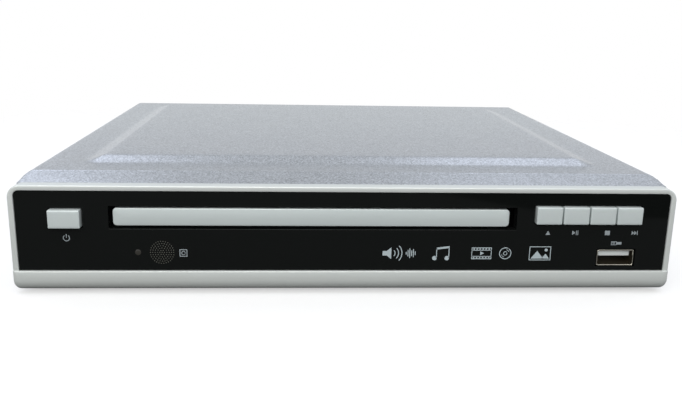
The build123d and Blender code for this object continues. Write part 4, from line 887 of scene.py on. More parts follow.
def pierced_panel(
    half: float, low: float, high: float, corner: float, depth: float
) -> tuple[np.ndarray, np.ndarray]:
    """A flat panel with the front's openings and round upper corners.

    The grid's lines run through every side of every opening, and the cells inside one are left
    out. In a corner's square, a place (a, b) from 0 to 1 moves to (a * sqrt(1 - b*b/2),
    b * sqrt(1 - a*a/2)), which bends the square into a quarter of a disc.

    Args:
        half: Half its width.
        low: Its lower side.
        high: Its upper side.
        corner: The radius of its upper corners.
        depth: The depth of its face.

    Returns:
        The points on a grid, and which cells have a face.
    """
    steps = np.linspace(0.0, corner, 5)
    xs = np.concatenate([half - corner + steps, -half + corner - steps, *(o.x for o in OPENINGS)])
    zs = np.concatenate([[low], high - corner + steps, *(o.z for o in OPENINGS)])
    xs, zs = np.unique(np.round(xs, 5)), np.unique(np.round(zs, 5))
    x, z = np.meshgrid(xs, zs, indexing="ij")
    a = np.clip((np.abs(x) - half + corner) / corner, 0.0, 1.0)
    b = np.clip((z - high + corner) / corner, 0.0, 1.0)
    x_round = x + np.sign(x) * corner * a * (np.sqrt(1.0 - b * b / 2.0) - 1.0)
    z_round = z + corner * b * (np.sqrt(1.0 - a * a / 2.0) - 1.0)
    middle_x, middle_z = (xs[:-1] + xs[1:]) / 2.0, (zs[:-1] + zs[1:]) / 2.0
    keep = np.ones((len(middle_x), len(middle_z)), bool)
    for opening in OPENINGS:
        inside_x = (middle_x > opening.x[0]) & (middle_x < opening.x[1])
        inside_z = (middle_z > opening.z[0]) & (middle_z < opening.z[1])
        keep &= ~(inside_x[:, None] & inside_z)
    return np.stack([x_round, np.full_like(x, depth), z_round], -1), keep


# The steel cover --------------------------------------------------------------------------------
@dataclass
class Cover:
    """The folded steel cover with its raised panel, front slope, vents and rear tabs."""

    half: float = 110.5
    low: float = 3.2
    start: float = 4.1
    rear: float = 206.1
    top: float = 39.7
    front_top: float = 37.5
    crease: float = 15.0
    crease_round: float = 0.9
    bead: float = 0.1
    bead_width: float = 0.55
    bend: float = 2.4
    sheet: float = 0.8
    panel_side: float = 16.1
    panel_front: float = 27.1
    panel_rear: float = 17.0
    panel_corner: float = 6.0
    bevel: float = 6.3
    rise: float = 2.2
    foot_soft: float = 0.16
    crown_soft: float = 0.12
    vents: int = 14
    vent_start: float = 62.0
    vent_pitch: float = 5.6
    vent_width: float = 2.2
    vent_z: Pair = (17.5, 30.5)
    side_rows: Pair = (10.0, 33.5)
    tab_x: float = 76.0
    tab_half: float = 8.0
    tab_low: float = 30.2
    hole_z: float = 34.4
    hole_radius: float = 1.4
    hole_sides: int = 32
    coarse_lines: tuple[int, int] = (45, 34)
    fine_step: float = 0.5
    side_margin: Pair = (2.1, 2.2)
    front_margin: Pair = (2.0, 2.1)
    crease_step: float = 0.3
    crease_margin: Pair = (2.4, 2.5)

    def level(self, depth: np.ndarray) -> np.ndarray:
        """The height of the cover without its panel.

        Two planes meet at the crease. The lower of them counts, rounded by half the root of
        their difference squared plus the rounding squared, and a slight bead runs on the crease.

        Args:
            depth: Depths behind the window's face.

        Returns:
            The height at each depth.
        """
        slope = (self.top - self.front_top) / (self.crease - self.start)
        front = self.front_top + slope * (depth - self.start)
        gap = front - self.top
        blend = self.crease_round * slope
        lower = (front + self.top - np.sqrt(gap * gap + blend * blend)) / 2.0
        return lower + self.bead * np.exp(-(((depth - self.crease) / self.bead_width) ** 2))

    def panel(self, x: np.ndarray, depth: np.ndarray) -> np.ndarray:
        """The height of the raised panel above the cover.

        The distance inside a rounded rectangle, divided by the bevel, is cut off softly at zero
        and at one, and times the rise gives the height.

        Args:
            x: Places across the top.
            depth: Their depths.

        Returns:
            The height at each place.
        """
        front, rear = self.panel_front, self.rear - self.panel_rear
        half_x, half_y = self.half - self.panel_side, (rear - front) / 2.0
        radius = self.panel_corner
        out_x = np.abs(x) - (half_x - radius)
        out_y = np.abs(depth - (front + rear) / 2.0) - (half_y - radius)
        outside = np.hypot(np.maximum(out_x, 0.0), np.maximum(out_y, 0.0))
        inside = radius - outside - np.minimum(np.maximum(out_x, out_y), 0.0)
        share = inside / self.bevel
        low = (share + np.sqrt(share * share + self.foot_soft**2)) / 2.0
        over = low - 1.0
        eased = (low + 1.0 - np.sqrt(over * over + self.crown_soft**2)) / 2.0
        rest = (1.0 - math.sqrt(1.0 + self.crown_soft**2)) / 2.0
        return self.rise * np.clip(eased - rest, 0.0, 1.0) * (share > -1.0)

    def lines(self) -> tuple[np.ndarray, np.ndarray]:
        """Where the skin's lines run.

        They lie wide apart, closer over the panel's bevels and the crease, and on the sides of
        every vent.

        Returns:
            Places across the top, and depths.
        """
        half_top = self.half - self.bend
        edge = self.half - self.panel_side
        before, after = self.side_margin
        fine = np.arange(edge - self.bevel - before, edge + after, self.fine_step)
        wide = np.linspace(-half_top, half_top, self.coarse_lines[0])
        across = np.unique(np.round(np.concatenate([wide, fine, -fine]), 3))
        before, after = self.front_margin
        bevel = np.arange(-before, self.bevel + after, self.fine_step)
        before, after = self.crease_margin
        crease = self.crease + np.arange(-before, after, self.crease_step)
        slots = self.vent_start + self.vent_pitch * np.arange(self.vents)
        depths = np.unique(np.round(np.concatenate([
            np.linspace(self.start, self.rear, self.coarse_lines[1]),
            self.panel_front + bevel, self.rear - self.panel_rear - bevel, crease,
            slots - self.vent_width / 2.0, slots + self.vent_width / 2.0]), 3))
        return across, depths

    def skin(self, draft: Draft) -> None:
        """Adds the outer skin: up the left side, round the bend, over the top and down again.

        Every line of the skin runs from front to rear. The bend is a quarter of a circle, cut
        off at the height of the front slope, and the cells in a vent have no face.

        Args:
            draft: The piece that gets it.
        """
        across, depths = self.lines()
        heights = np.array([self.low, self.side_rows[0], *self.vent_z, self.side_rows[1]])
        angles = turn(180.0, 90.0, 10)
        level = self.level(depths)
        side_z, side_depth = np.meshgrid(heights, depths, indexing="ij")
        side = np.stack([np.full_like(side_z, -self.half), side_depth, side_z], -1)
        arc_x = -(self.half - self.bend) + self.bend * np.cos(angles)[:, None]
        arc_z = np.minimum(self.top - self.bend * (1.0 - np.sin(angles))[:, None], level)
        arc = np.stack([np.broadcast_to(arc_x, arc_z.shape),
                        np.broadcast_to(depths, arc_z.shape), arc_z], -1)
        x, depth = np.meshgrid(across[1:-1], depths, indexing="ij")
        top = np.stack([x, depth, level + self.panel(x, depth)], -1)
        mirror = np.array([-1.0, 1.0, 1.0])
        grid = np.concatenate([side, arc, top, arc[::-1] * mirror, side[::-1] * mirror])
        keep = np.ones((grid.shape[0] - 1, grid.shape[1] - 1), bool)
        middles = (depths[:-1] + depths[1:]) / 2.0
        start, pitch, width = self.vent_start, self.vent_pitch, self.vent_width
        offset = np.abs((middles - start + pitch / 2.0) % pitch - pitch / 2.0)
        slot = (offset < width / 2.0) & (middles > start - width)
        slot &= middles < start + pitch * (self.vents - 1) + width
        row = int(np.argmax(heights == self.vent_z[0]))
        keep[row, slot] = False
        keep[keep.shape[0] - 1 - row, slot] = False
        draft.grid(grid, keep=keep)

    def tab(self, draft: Draft, side: int) -> None:
        """Adds a tab behind, a plate between its round hole and its square outline.

        A direction divided by the greater of its two parts reaches from the hole's middle to
        the outline, and the same direction times the radius reaches to the hole.

        Args:
            draft: The piece that gets it.
            side: -1 for the left tab and 1 for the right one.
        """
        sides = self.hole_sides
        angles = np.linspace(0.0, 2.0 * math.pi, sides, endpoint=False) + math.pi / 4.0
        ways = np.stack([np.cos(angles), np.sin(angles)], -1)
        box = ways / np.abs(ways).max(-1, keepdims=True)
        over, under = self.top - self.hole_z, self.hole_z - self.tab_low
        middle_x, depth = self.tab_x * side, np.full(sides, self.rear)
        z = self.hole_z + box[:, 1] * np.where(box[:, 1] > 0.0, over, under)
        outer = np.column_stack([middle_x + box[:, 0] * self.tab_half, depth, z])
        hole = np.column_stack([middle_x + ways[:, 0] * self.hole_radius, depth,
                                self.hole_z + ways[:, 1] * self.hole_radius])
        draft.grid(np.stack([outer, hole]), round_columns=True)

    def build(self) -> bpy.types.Object:
        """Makes the cover: its skin and tabs, folded of one sheet.

        Returns:
            The piece.
        """
        draft = Draft("cover_skin")
        self.skin(draft)
        for side in (-1, 1):
            self.tab(draft, side)
        return draft.make(Body.PLAYER, Slot.PAINT, [COVER_PAINT], ["top_cover"], closed=False,
                          wall=self.sheet)


# The front --------------------------------------------------------------------------------------
@dataclass
class Bezel:
    """The silver front moulding: rim, rounded lower lip, the wall behind the window, flanges."""

    half: float = 112.5
    top: float = 37.7
    corner: float = 4.2
    inner_half: float = 110.6
    inner_top: float = 35.95
    inner_corner: float = 1.9
    window_low: float = 8.3
    proud: float = 0.5
    depth: float = 4.0
    edge: float = 0.4
    inner_edge: float = 0.2
    low: float = 2.0
    lip_low: float = 1.1
    lip_proud: float = 1.0
    lip_round: float = 4.0
    lip_edge: float = 0.3
    lip_end: float = 1.6
    lip_inset: float = 0.5
    lap: float = 1.0
    tuck: float = 0.4
    wall_front: float = 2.0
    root: float = 3.55
    flange_half: float = 104.0
    flange_thick: float = 1.6
    flange_reach: float = 10.0
    flange_round: float = 0.2
    base_flange_top: float = 3.1
    hook_reach: float = 8.0
    hook_z: Pair = (35.1, 36.4)

    def outline(self, half: float, top: float, corner: float) -> np.ndarray:
        """An arch: up the left side, round both upper corners and down the right side.

        Each corner is a quarter of a circle round a middle that lies its radius inside.

        Args:
            half: Half the arch's width.
            top: Its upper side.
            corner: The radius of its corners.

        Returns:
            The arch's points, as (x, z).
        """
        angles = turn(180.0, 90.0, 8)
        arc = np.column_stack([
            -half + corner + corner * np.cos(angles), top - corner + corner * np.sin(angles)])
        left = np.vstack([[-half, self.window_low - self.lap], arc])
        return np.vstack([left, left[::-1] * np.array([-1.0, 1.0])])

    def rim(self, draft: Draft) -> None:
        """Adds the rim round the window.

        Each point of a closed profile lies a share of the way from the inner to the outer
        outline, at the profile's depth.

        Args:
            draft: The piece that gets it.
        """
        inner = self.outline(self.inner_half, self.inner_top, self.inner_corner)
        outer = self.outline(self.half, self.top, self.corner)
        width = self.half - self.inner_half
        angles = turn(180.0, 90.0, 3)
        near = [((self.inner_edge + self.inner_edge * math.cos(a)) / width,
                 -self.proud + self.inner_edge - self.inner_edge * math.sin(a)) for a in angles]
        angles = turn(90.0, 0.0, 6)
        far = [(1.0 - (self.edge - self.edge * math.cos(a)) / width,
                -self.proud + self.edge - self.edge * math.sin(a)) for a in angles]
        profile = np.array([(0.0, self.depth), *near, *far, (1.0, self.depth)])
        share, depth = profile[:, 0][None, :, None], profile[:, 1]
        flat = inner[:, None, :] * (1.0 - share) + outer[:, None, :] * share
        depths = np.broadcast_to(depth, flat.shape[:2])
        draft.grid(np.stack([flat[..., 0], depths, flat[..., 1]], -1), round_columns=True)

    def lip(self, draft: Draft) -> None:
        """Adds the lip below the window.

        Its profile runs the whole width, and at each end its front draws in and its underside
        rises as the end rounds over. The last two numbers of a profile's point, from 0 to -1,
        say how far it goes along with each.

        Args:
            draft: The piece that gets it.
        """
        edge, big = self.lip_edge, self.lip_round
        top_arc = turn(90.0, 180.0, 3)
        low_arc = turn(180.0, 270.0, 10)
        front = -self.lip_proud
        high = self.window_low
        points = [(self.depth, high, 0.0, 0.0), (front + edge, high, 0.0, 0.0)]
        points += [(front + edge + edge * math.cos(a), high - edge + edge * math.sin(a),
                    math.cos(a), 0.0) for a in top_arc]
        points += [(front + big + big * math.cos(a), self.lip_low + big + big * math.sin(a),
                    math.cos(a), math.sin(a)) for a in low_arc]
        points += [(self.depth, self.lip_low, 0.0, -1.0)]
        profile = np.array(points)
        angles = turn(0.0, 90.0, 6)
        end_x = self.half - self.lip_end + self.lip_end * np.sin(angles)
        drawn = 1.0 - np.cos(angles)
        x = np.concatenate([-end_x[::-1], end_x])
        inward = np.concatenate([drawn[::-1], drawn])[:, None]
        depth = profile[:, 0] - inward * self.lip_inset * profile[:, 2]
        height = profile[:, 1] - inward * self.lip_end * profile[:, 3]
        grid = np.stack([np.broadcast_to(x[:, None], depth.shape), depth, height], -1)
        centre = (self.depth + front) / 2.0, (high + self.lip_low) / 2.0
        cap = np.broadcast_to(np.array([self.half, *centre]), (1, *grid.shape[1:]))
        grid = np.concatenate([cap * np.array([-1.0, 1.0, 1.0]), grid, cap])
        draft.grid(grid, round_columns=True)

    def wall(self, draft: Draft) -> None:
        """Adds the wall behind the window, front and back, with the sides of its openings.

        Args:
            draft: The piece that gets it.
        """
        points, keep = pierced_panel(
            self.inner_half + self.tuck, self.window_low - self.tuck, self.inner_top + self.tuck,
            self.inner_corner, self.wall_front)
        thickness = np.array([0.0, self.depth - self.wall_front, 0.0])
        # Both faces of the wall and the sides of its openings get the near-black painted shade.
        draft.grid(points, keep=keep, tone=1)
        draft.grid(points + thickness, keep=keep, tone=1)
        for opening in OPENINGS:
            loop = rounded_loop(*opening.size, 0.0, 1)[::2] + np.array(opening.middle)
            front = np.column_stack([loop[:, 0], np.full(4, self.wall_front), loop[:, 1]])
            draft.grid(np.stack([front, front + thickness]), round_columns=True, tone=1)

    def flanges(self, draft: Draft) -> None:
        """Adds the flanges that reach into the cover and under the base, as rounded blocks.

        Args:
            draft: The piece that gets them.
        """
        reach, hook = self.depth + self.flange_reach, self.depth + self.hook_reach
        half, root, low = self.flange_half, self.root, self.window_low
        outer, (hook_low, top) = half + self.flange_thick, self.hook_z
        blocks = [
            ((-half, root, self.low), (half, reach, self.base_flange_top)),
            ((-half, root, hook_low), (half, hook, top)),
            ((half, root, low), (outer, reach, top)),
            ((-outer, root, low), (-half, reach, top)),
        ]
        for lowest, highest in blocks:
            draft.grid(rounded_block(lowest, highest, self.flange_round), round_columns=True)

    def build(self) -> bpy.types.Object:
        """Makes the moulding of its rim, lip, flanges and wall.

        Returns:
            The piece.
        """
        draft = Draft("bezel_moulding")
        self.rim(draft)
        self.lip(draft)
        self.flanges(draft)
        self.wall(draft)
        return draft.make(Body.PLAYER, Slot.SILVER, [BEZEL_SILVER, RECESS_PAINTED_SHADE], ["front_bezel"])


@dataclass
class Window:
    """The gloss black window with its openings."""

    half: float = 110.55
    low: float = 8.35
    high: float = 35.9
    corner: float = 1.9
    thick: float = 1.95
    edge: float = 0.12

    def build(self) -> bpy.types.Object:
        """Makes the window: the pierced face, given its thickness and softened edges.

        Returns:
            The piece.
        """
        draft = Draft("window_panel")
        points, keep = pierced_panel(self.half, self.low, self.high, self.corner, 0.0)
        draft.grid(points, keep=keep)
        return draft.make(Body.PLAYER, Slot.WINDOW, [WINDOW_GLOSS], ["front_window"], closed=False,
                          wall=self.thick, soften=self.edge)


@dataclass
class Key:
    """A push button: a cap with soft edges and a slightly crowned face, its flange and stem."""

    body: Body
    middle: Pair
    size: Pair
    proud: float = 1.8
    back: float = 4.2
    corner: float = 0.35
    edge: float = 0.3
    crown: float = 0.05
    flange: float = 1.2
    stem_half: float = 1.3
    stem: Pair = (5.2, 9.1)
    hidden_round: float = 0.2

    def build(self) -> bpy.types.Object:
        """Makes the button: a cap, the flange behind it and the stem that reaches its switch.

        The cap's edge is a quarter of a circle, and its face rises evenly to the middle.

        Returns:
            The piece.
        """
        rounding = [(self.edge * (1.0 - math.cos(a)),
                     -self.proud + self.edge * (1.0 - math.sin(a)) + self.crown)
                    for a in turn(0.0, 90.0, 4)]
        half = min(self.size) / 2.0
        face = [(half * s, -self.proud + self.crown * (1.0 - s)) for s in (0.35, 0.65, 1.0)]
        profile = [(half, self.back), (0.0, self.back), *rounding, *face]
        draft = Draft(f"{self.body.value}_cap")
        draft.grid(facing(self.middle, self.size, self.corner, profile, 3), round_columns=True)
        x, z = self.middle
        wide, tall, thin = self.size[0] / 2.0, self.size[1] / 2.0 + self.flange, self.stem_half
        blocks = [
            ((x - wide, self.back, z - tall), (x + wide, self.back + self.flange, z + tall)),
            ((x - thin, self.stem[0], z - thin), (x + thin, self.stem[1], z + thin)),
        ]
        for low, high in blocks:
            draft.grid(rounded_block(low, high, self.hidden_round), round_columns=True)
        return draft.make(self.body, Slot.SILVER, [KEY_SILVER], [self.body.value], crisp=50.0)


@dataclass
class Door:
    """The tray's silver fascia: a thin bar with round corners and two clips behind."""

    middle: Pair = (-12.0, 26.85)
    size: Pair = (133.9, 6.15)
    corner: float = 1.3
    front: float = 0.6
    back: float = 3.2
    edge: float = 0.4
    clip_x: float = 52.95
    clip_half: float = 4.0
    clip_z: Pair = (24.7, 29.4)
    clip_depth: Pair = (3.0, 3.6)
    clip_round: float = 0.15

    def build(self) -> bpy.types.Object:
        """Makes the fascia: a bar whose edge is a quarter of a circle, and its two clips.

        Returns:
            The piece.
        """
        rounding = [(self.edge * (1.0 - math.cos(a)), self.front + self.edge * (1.0 - math.sin(a)))
                    for a in turn(0.0, 90.0, 4)]
        half = self.size[1] / 2.0
        profile = [(half, self.back), (0.0, self.back), *rounding, (half, self.front)]
        draft = Draft("door_fascia")
        draft.grid(facing(self.middle, self.size, self.corner, profile, 8), round_columns=True)
        for side in (-1, 1):
            x = self.middle[0] + side * self.clip_x
            low = (x - self.clip_half, self.clip_depth[0], self.clip_z[0])
            high = (x + self.clip_half, self.clip_depth[1], self.clip_z[1])
            draft.grid(rounded_block(low, high, self.clip_round), round_columns=True)
        return draft.make(Body.TRAY, Slot.SILVER, [KEY_SILVER], ["tray_door"], crisp=50.0)


@dataclass
class DataSocket:
    """The data socket: a folded metal shell with turned lips, and a tongue with contacts."""

    middle: Pair = DATA_OPENING.middle
    size: Pair = (13.1, 5.72)
    corner: float = 0.6
    wall: float = 0.3
    front: float = 0.3
    back: float = 14.0
    floor: float = 13.0
    painted_shade_from: float = 0.5
    tongue: Pair = (11.1, 1.84)
    tongue_z: float = 13.99
    tongue_depth: Pair = (1.9, 11.2)
    tongue_round: float = 0.2
    base_half: float = 6.15
    base_depth: Pair = (10.8, 12.9)
    base_z: Pair = (10.4, 15.4)
    base_round: float = 0.25
    contacts: tuple[float, ...] = (-3.5, -1.2, 1.2, 3.5)
    contact_half: float = 0.5
    contact_front: float = 0.6
    contact_proud: float = 0.12
    contact_thick: float = 0.3
    contact_round: float = 0.1

    def shell(self) -> bpy.types.Object:
        """Makes the shell: round its lip from the outer to the inner side, and closed behind.

        The lip is half a circle as wide as the sheet. Past the lip, the inner walls and floor take
        the second finish, dark painted shade.

        Returns:
            The piece.
        """
        middle = self.wall / 2.0
        lip = [(middle - middle * math.cos(a), self.front + middle * (1.0 - math.sin(a)))
               for a in turn(0.0, 180.0, 6)]
        # Painted shade: the inside turns dark from this point, a little behind the lip.
        half, shade = self.size[1] / 2.0, (self.wall, self.front + self.painted_shade_from)
        outside = [(half, self.back), (0.0, self.back), *lip, shade]
        inside = [shade, (self.wall, self.floor), (half, self.floor)]
        draft = Draft("data_socket_shell")
        for tone, profile in enumerate((outside, inside)):
            form = facing(self.middle, self.size, self.corner, profile, 4)
            draft.grid(form, round_columns=True, tone=tone)
        return draft.make(Body.PLAYER, Slot.METAL, [SOCKET_METAL, SOCKET_PAINTED_SHADE], ["usb_shell"],
                          crisp=60.0)

    def insert(self) -> bpy.types.Object:
        """Makes the tongue, its base and the four contacts under it, as rounded blocks.

        Returns:
            The piece.
        """
        x, half, thick = self.middle[0], self.tongue[0] / 2.0, self.tongue[1] / 2.0
        (front, rear), (base_front, base_rear) = self.tongue_depth, self.base_depth
        wide, (base_low, base_high) = self.base_half, self.base_z
        blocks = [
            ((x - half, front, self.tongue_z - thick), (x + half, rear, self.tongue_z + thick),
             self.tongue_round, 0),
            ((x - wide, base_front, base_low), (x + wide, base_rear, base_high),
             self.base_round, 0),
        ]
        low_z = self.tongue_z - thick - self.contact_proud
        for place in self.contacts:
            left, right = x + place - self.contact_half, x + place + self.contact_half
            low = (left, front + self.contact_front, low_z)
            high = (right, base_front, low_z + self.contact_thick)
            blocks.append((low, high, self.contact_round, 1))
        draft = Draft("data_socket_tongue")
        for low, high, radius, tone in blocks:
            draft.grid(rounded_block(low, high, radius), round_columns=True, tone=tone)
        return draft.make(Body.PLAYER, Slot.WHITE, [TONGUE_WHITE, CONTACT_GOLD], ["usb_tongue"])


@dataclass
class Lamp:
    """The small smoky status lamp."""

    middle: Pair = (-71.0, 14.7)
    radius: float = 1.0
    length: float = 14.0
    dome: float = 0.08
    foot_radius: float = 1.6
    foot_length: float = 5.0

    def build(self) -> bpy.types.Object:
        """Makes the light pipe: a turned form with a thick foot and a low dome at its face.

        Returns:
            The piece.
        """
        r, foot, end = self.radius, self.foot_radius, self.length
        dome = [(r * math.sin(a), end + self.dome * math.cos(a)) for a in turn(90.0, 0.0, 4)]
        profile = [(0.0, 0.0), (foot, 0.0), (foot, self.foot_length), (r, self.foot_length), *dome]
        form = laid(turned(profile), (self.middle[0], end, self.middle[1]), (0.0, -1.0, 0.0))
        draft = Draft("status_lamp_pipe")
        draft.grid(form, round_columns=True)
        return draft.make(Body.PLAYER, Slot.LAMP, [LAMP_SMOKE], ["status_lamp"])


# Printed marks ----------------------------------------------------------------------------------
@dataclass
class Print:
    """Ink on the window: flat shapes, each a little slab that stands on the window's face."""

    name: str
    finish: Moulded
    thick: float = 0.03
    behind: float = -0.004
    step: float = 12.0
    draft: Draft = field(init=False)

    def __post_init__(self) -> None:
        """Starts with no mark."""
        self.draft = Draft(self.name)

    def shape(self, points: np.ndarray) -> None:
        """Adds a filled shape.

        Args:
            points: Its outline, as (x, z).
        """
        count = len(points)
        back = np.column_stack([points[:, 0], np.full(count, self.behind), points[:, 1]])
        front = back - np.array([0.0, self.thick, 0.0])
        ring = np.arange(count)
        after = (ring + 1) % count
        sides = np.column_stack([ring, after, after + count, ring + count])
        faces = [ring.tolist(), (ring + count)[::-1].tolist(), *sides.tolist()]
        self.draft.add(np.concatenate([back, front]), faces)

    def bar(self, x: Pair, z: Pair) -> None:
        """Adds an upright rectangle."""
        self.shape(np.array([[x[0], z[0]], [x[1], z[0]], [x[1], z[1]], [x[0], z[1]]]))

    def dot(self, middle: Pair, radius: float, sides: int = 16) -> None:
        """Adds a filled circle."""
        angles = np.linspace(0.0, 2.0 * math.pi, sides, endpoint=False)
        self.shape(np.array(middle) + radius * np.column_stack([np.cos(angles), np.sin(angles)]))

    def arc(
        self, middle: Pair, radius: float, width: float, start: float = 0.0, end: float = 360.0
    ) -> None:
        """Adds part of a ring, as one band of slabs between two radii.

        Args:
            middle: The ring's middle.
            radius: The radius of the band's middle line.
            width: The band's width.
            start: The angle in degrees where it starts, from the right and anticlockwise.
            end: The angle where it ends.
        """
        angles = turn(start, end, max(6, int(abs(end - start) / self.step)))
        ways = np.column_stack([np.cos(angles), np.sin(angles)])
        inner = np.array(middle) + (radius - width / 2.0) * ways
        outer = np.array(middle) + (radius + width / 2.0) * ways
        for k in range(len(angles) - 1):
            self.shape(np.array([inner[k], outer[k], outer[k + 1], inner[k + 1]]))

    def frame(self, x: Pair, z: Pair, width: float) -> None:
        """Adds the outline of a rectangle.

        Args:
            x: Its left and right sides.
            z: Its lower and upper sides.
            width: The line's width, inside them.
        """
        self.bar(x, (z[0], z[0] + width))
        self.bar(x, (z[1] - width, z[1]))
        self.bar((x[0], x[0] + width), (z[0] + width, z[1] - width))
        self.bar((x[1] - width, x[1]), (z[0] + width, z[1] - width))

    def build(self) -> bpy.types.Object:
        """Makes the print."""
        return self.draft.make(Body.PLAYER, Slot.WINDOW, [self.finish])


def triangle(middle: Pair, width: float, height: float, upward: bool = False) -> np.ndarray:
    """A triangle that points right or up.

    Args:
        middle: The middle of the box round it.
        width: Its width.
        height: Its height.
        upward: Whether it points up.

    Returns:
        Its three points, as (x, z).
    """
    right = np.array([[-0.5, -0.5], [0.5, 0.0], [-0.5, 0.5]])
    up = np.array([[-0.5, -0.5], [0.5, -0.5], [0.0, 0.5]])
    return np.array(middle) + (up if upward else right) * (width, height)


@dataclass
class Marks:
    """The symbols printed on the window, all of them general ones."""

    level: float = 21.95
    keys: tuple[float, float, float, float] = (68.6, 78.1, 89.5, 99.1)
    power: Pair = (-94.3, 19.7)
    half_bar: float = 0.8
    feature_z: float = 14.5
    receiver: Pair = (-63.0, 14.7)
    dot_rings: int = 6
    dot_pitch: float = 0.78
    dot_radius: float = 0.17

    def controls(self) -> None:
        """Prints the symbols of the buttons: power, open, play and pause, stop, skip."""
        ink = Print("control_symbols", INK_GREY)
        x, z = self.power
        ink.arc(self.power, 1.02, 0.26, 125.0, 415.0)
        ink.bar((x - 0.13, x + 0.13), (z + 0.1, z + 1.35))
        eject, play, stop, skip = self.keys
        rows = (self.level - self.half_bar, self.level + self.half_bar)
        ink.shape(triangle((eject, self.level), 1.6, 1.5, upward=True))
        ink.shape(triangle((play - 0.45, self.level), 1.15, 1.6))
        ink.bar((play + 0.35, play + 0.6), rows)
        ink.bar((play + 0.85, play + 1.1), rows)
        ink.bar((stop - 0.9, stop + 0.9), rows)
        for offset in (-0.55, 0.35):
            ink.shape(triangle((skip + offset, self.level), 0.9, 1.5))
        ink.bar((skip + 0.9, skip + 1.15), rows)
        ink.build()

    def socket(self) -> None:
        """Prints a plain plug over the data socket and a ring in a square by the sensor."""
        ink = Print("socket_symbols", INK_GREY)
        ink.frame((91.2, 93.2), (17.55, 18.85), 0.2)
        ink.bar((93.2, 94.9), (17.75, 18.65))
        ink.bar((91.65, 92.6), (18.3, 18.5))
        ink.bar((91.65, 92.6), (17.9, 18.1))
        ink.frame((-57.2, -54.6), (13.2, 15.8), 0.28)
        ink.arc((-55.9, 14.5), 0.62, 0.24)
        ink.build()

    def features(self) -> None:
        """Prints five plain pictures: sound, a note, a film strip, a disc and a landscape."""
        ink = Print("feature_symbols", INK_PALE)
        z = self.feature_z
        ink.bar((11.6, 13.0), (z - 0.8, z + 0.8))
        ink.shape(np.array([[13.0, z - 0.8], [14.6, z - 2.1], [14.6, z + 2.1], [13.0, z + 0.8]]))
        for radius in (1.5, 2.7, 3.9):
            ink.arc((14.4, z), radius, 0.3, -42.0, 42.0)
        for n, height in enumerate((1.0, 2.3, 3.4, 2.0, 2.9, 1.3)):
            ink.bar((19.6 + 0.62 * n, 19.9 + 0.62 * n), (z - height / 2.0, z + height / 2.0))
        for x in (29.6, 33.9):
            ink.dot((x, z - 1.75), 0.8)
            ink.bar((x + 0.5, x + 0.8), (z - 1.75, z + 2.0))
        ink.shape(np.array([[30.1, z + 1.3], [34.7, z + 1.9], [34.7, z + 2.6], [30.1, z + 2.0]]))
        ink.frame((42.4, 49.4), (z - 2.1, z + 2.1), 0.25)
        ink.bar((42.4, 49.4), (z + 1.0, z + 1.2))
        ink.bar((42.4, 49.4), (z - 1.2, z - 1.0))
        for n in range(6):
            for row in (1.55, -1.55):
                ink.bar((43.0 + 1.05 * n, 43.5 + 1.05 * n), (z + row - 0.22, z + row + 0.22))
        ink.shape(triangle((46.1, z), 1.3, 1.4))
        disc = (54.2, z)
        ink.arc(disc, 2.0, 0.28)
        ink.arc(disc, 0.62, 0.22)
        for start in (20.0, 200.0):
            ink.arc(disc, 1.35, 0.16, start, start + 55.0)
        ink.frame((62.6, 70.2), (z - 2.5, z + 2.5), 0.25)
        ink.shape(np.array([[63.2, z - 1.9], [67.6, z - 1.9], [65.4, z + 0.9]]))
        ink.shape(np.array([[67.0, z - 1.9], [69.7, z - 1.9], [68.4, z - 0.1]]))
        ink.dot((68.5, z + 1.2), 0.55)
        ink.build()

    def sensor(self) -> None:
        """Prints rings of dots before the receiver: ring k holds six times k dots."""
        ink = Print("sensor_dots", INK_DIM)
        for ring in range(self.dot_rings):
            reach = self.dot_pitch * ring
            for angle in np.linspace(0.0, 2.0 * math.pi, max(1, 6 * ring), endpoint=False):
                way = reach * np.array([math.cos(angle), math.sin(angle)])
                ink.dot(tuple(self.receiver + way), self.dot_radius, 8)
        ink.build()

    def build(self) -> None:
        """Prints all of them."""
        self.controls()
        self.socket()
        self.features()
        self.sensor()


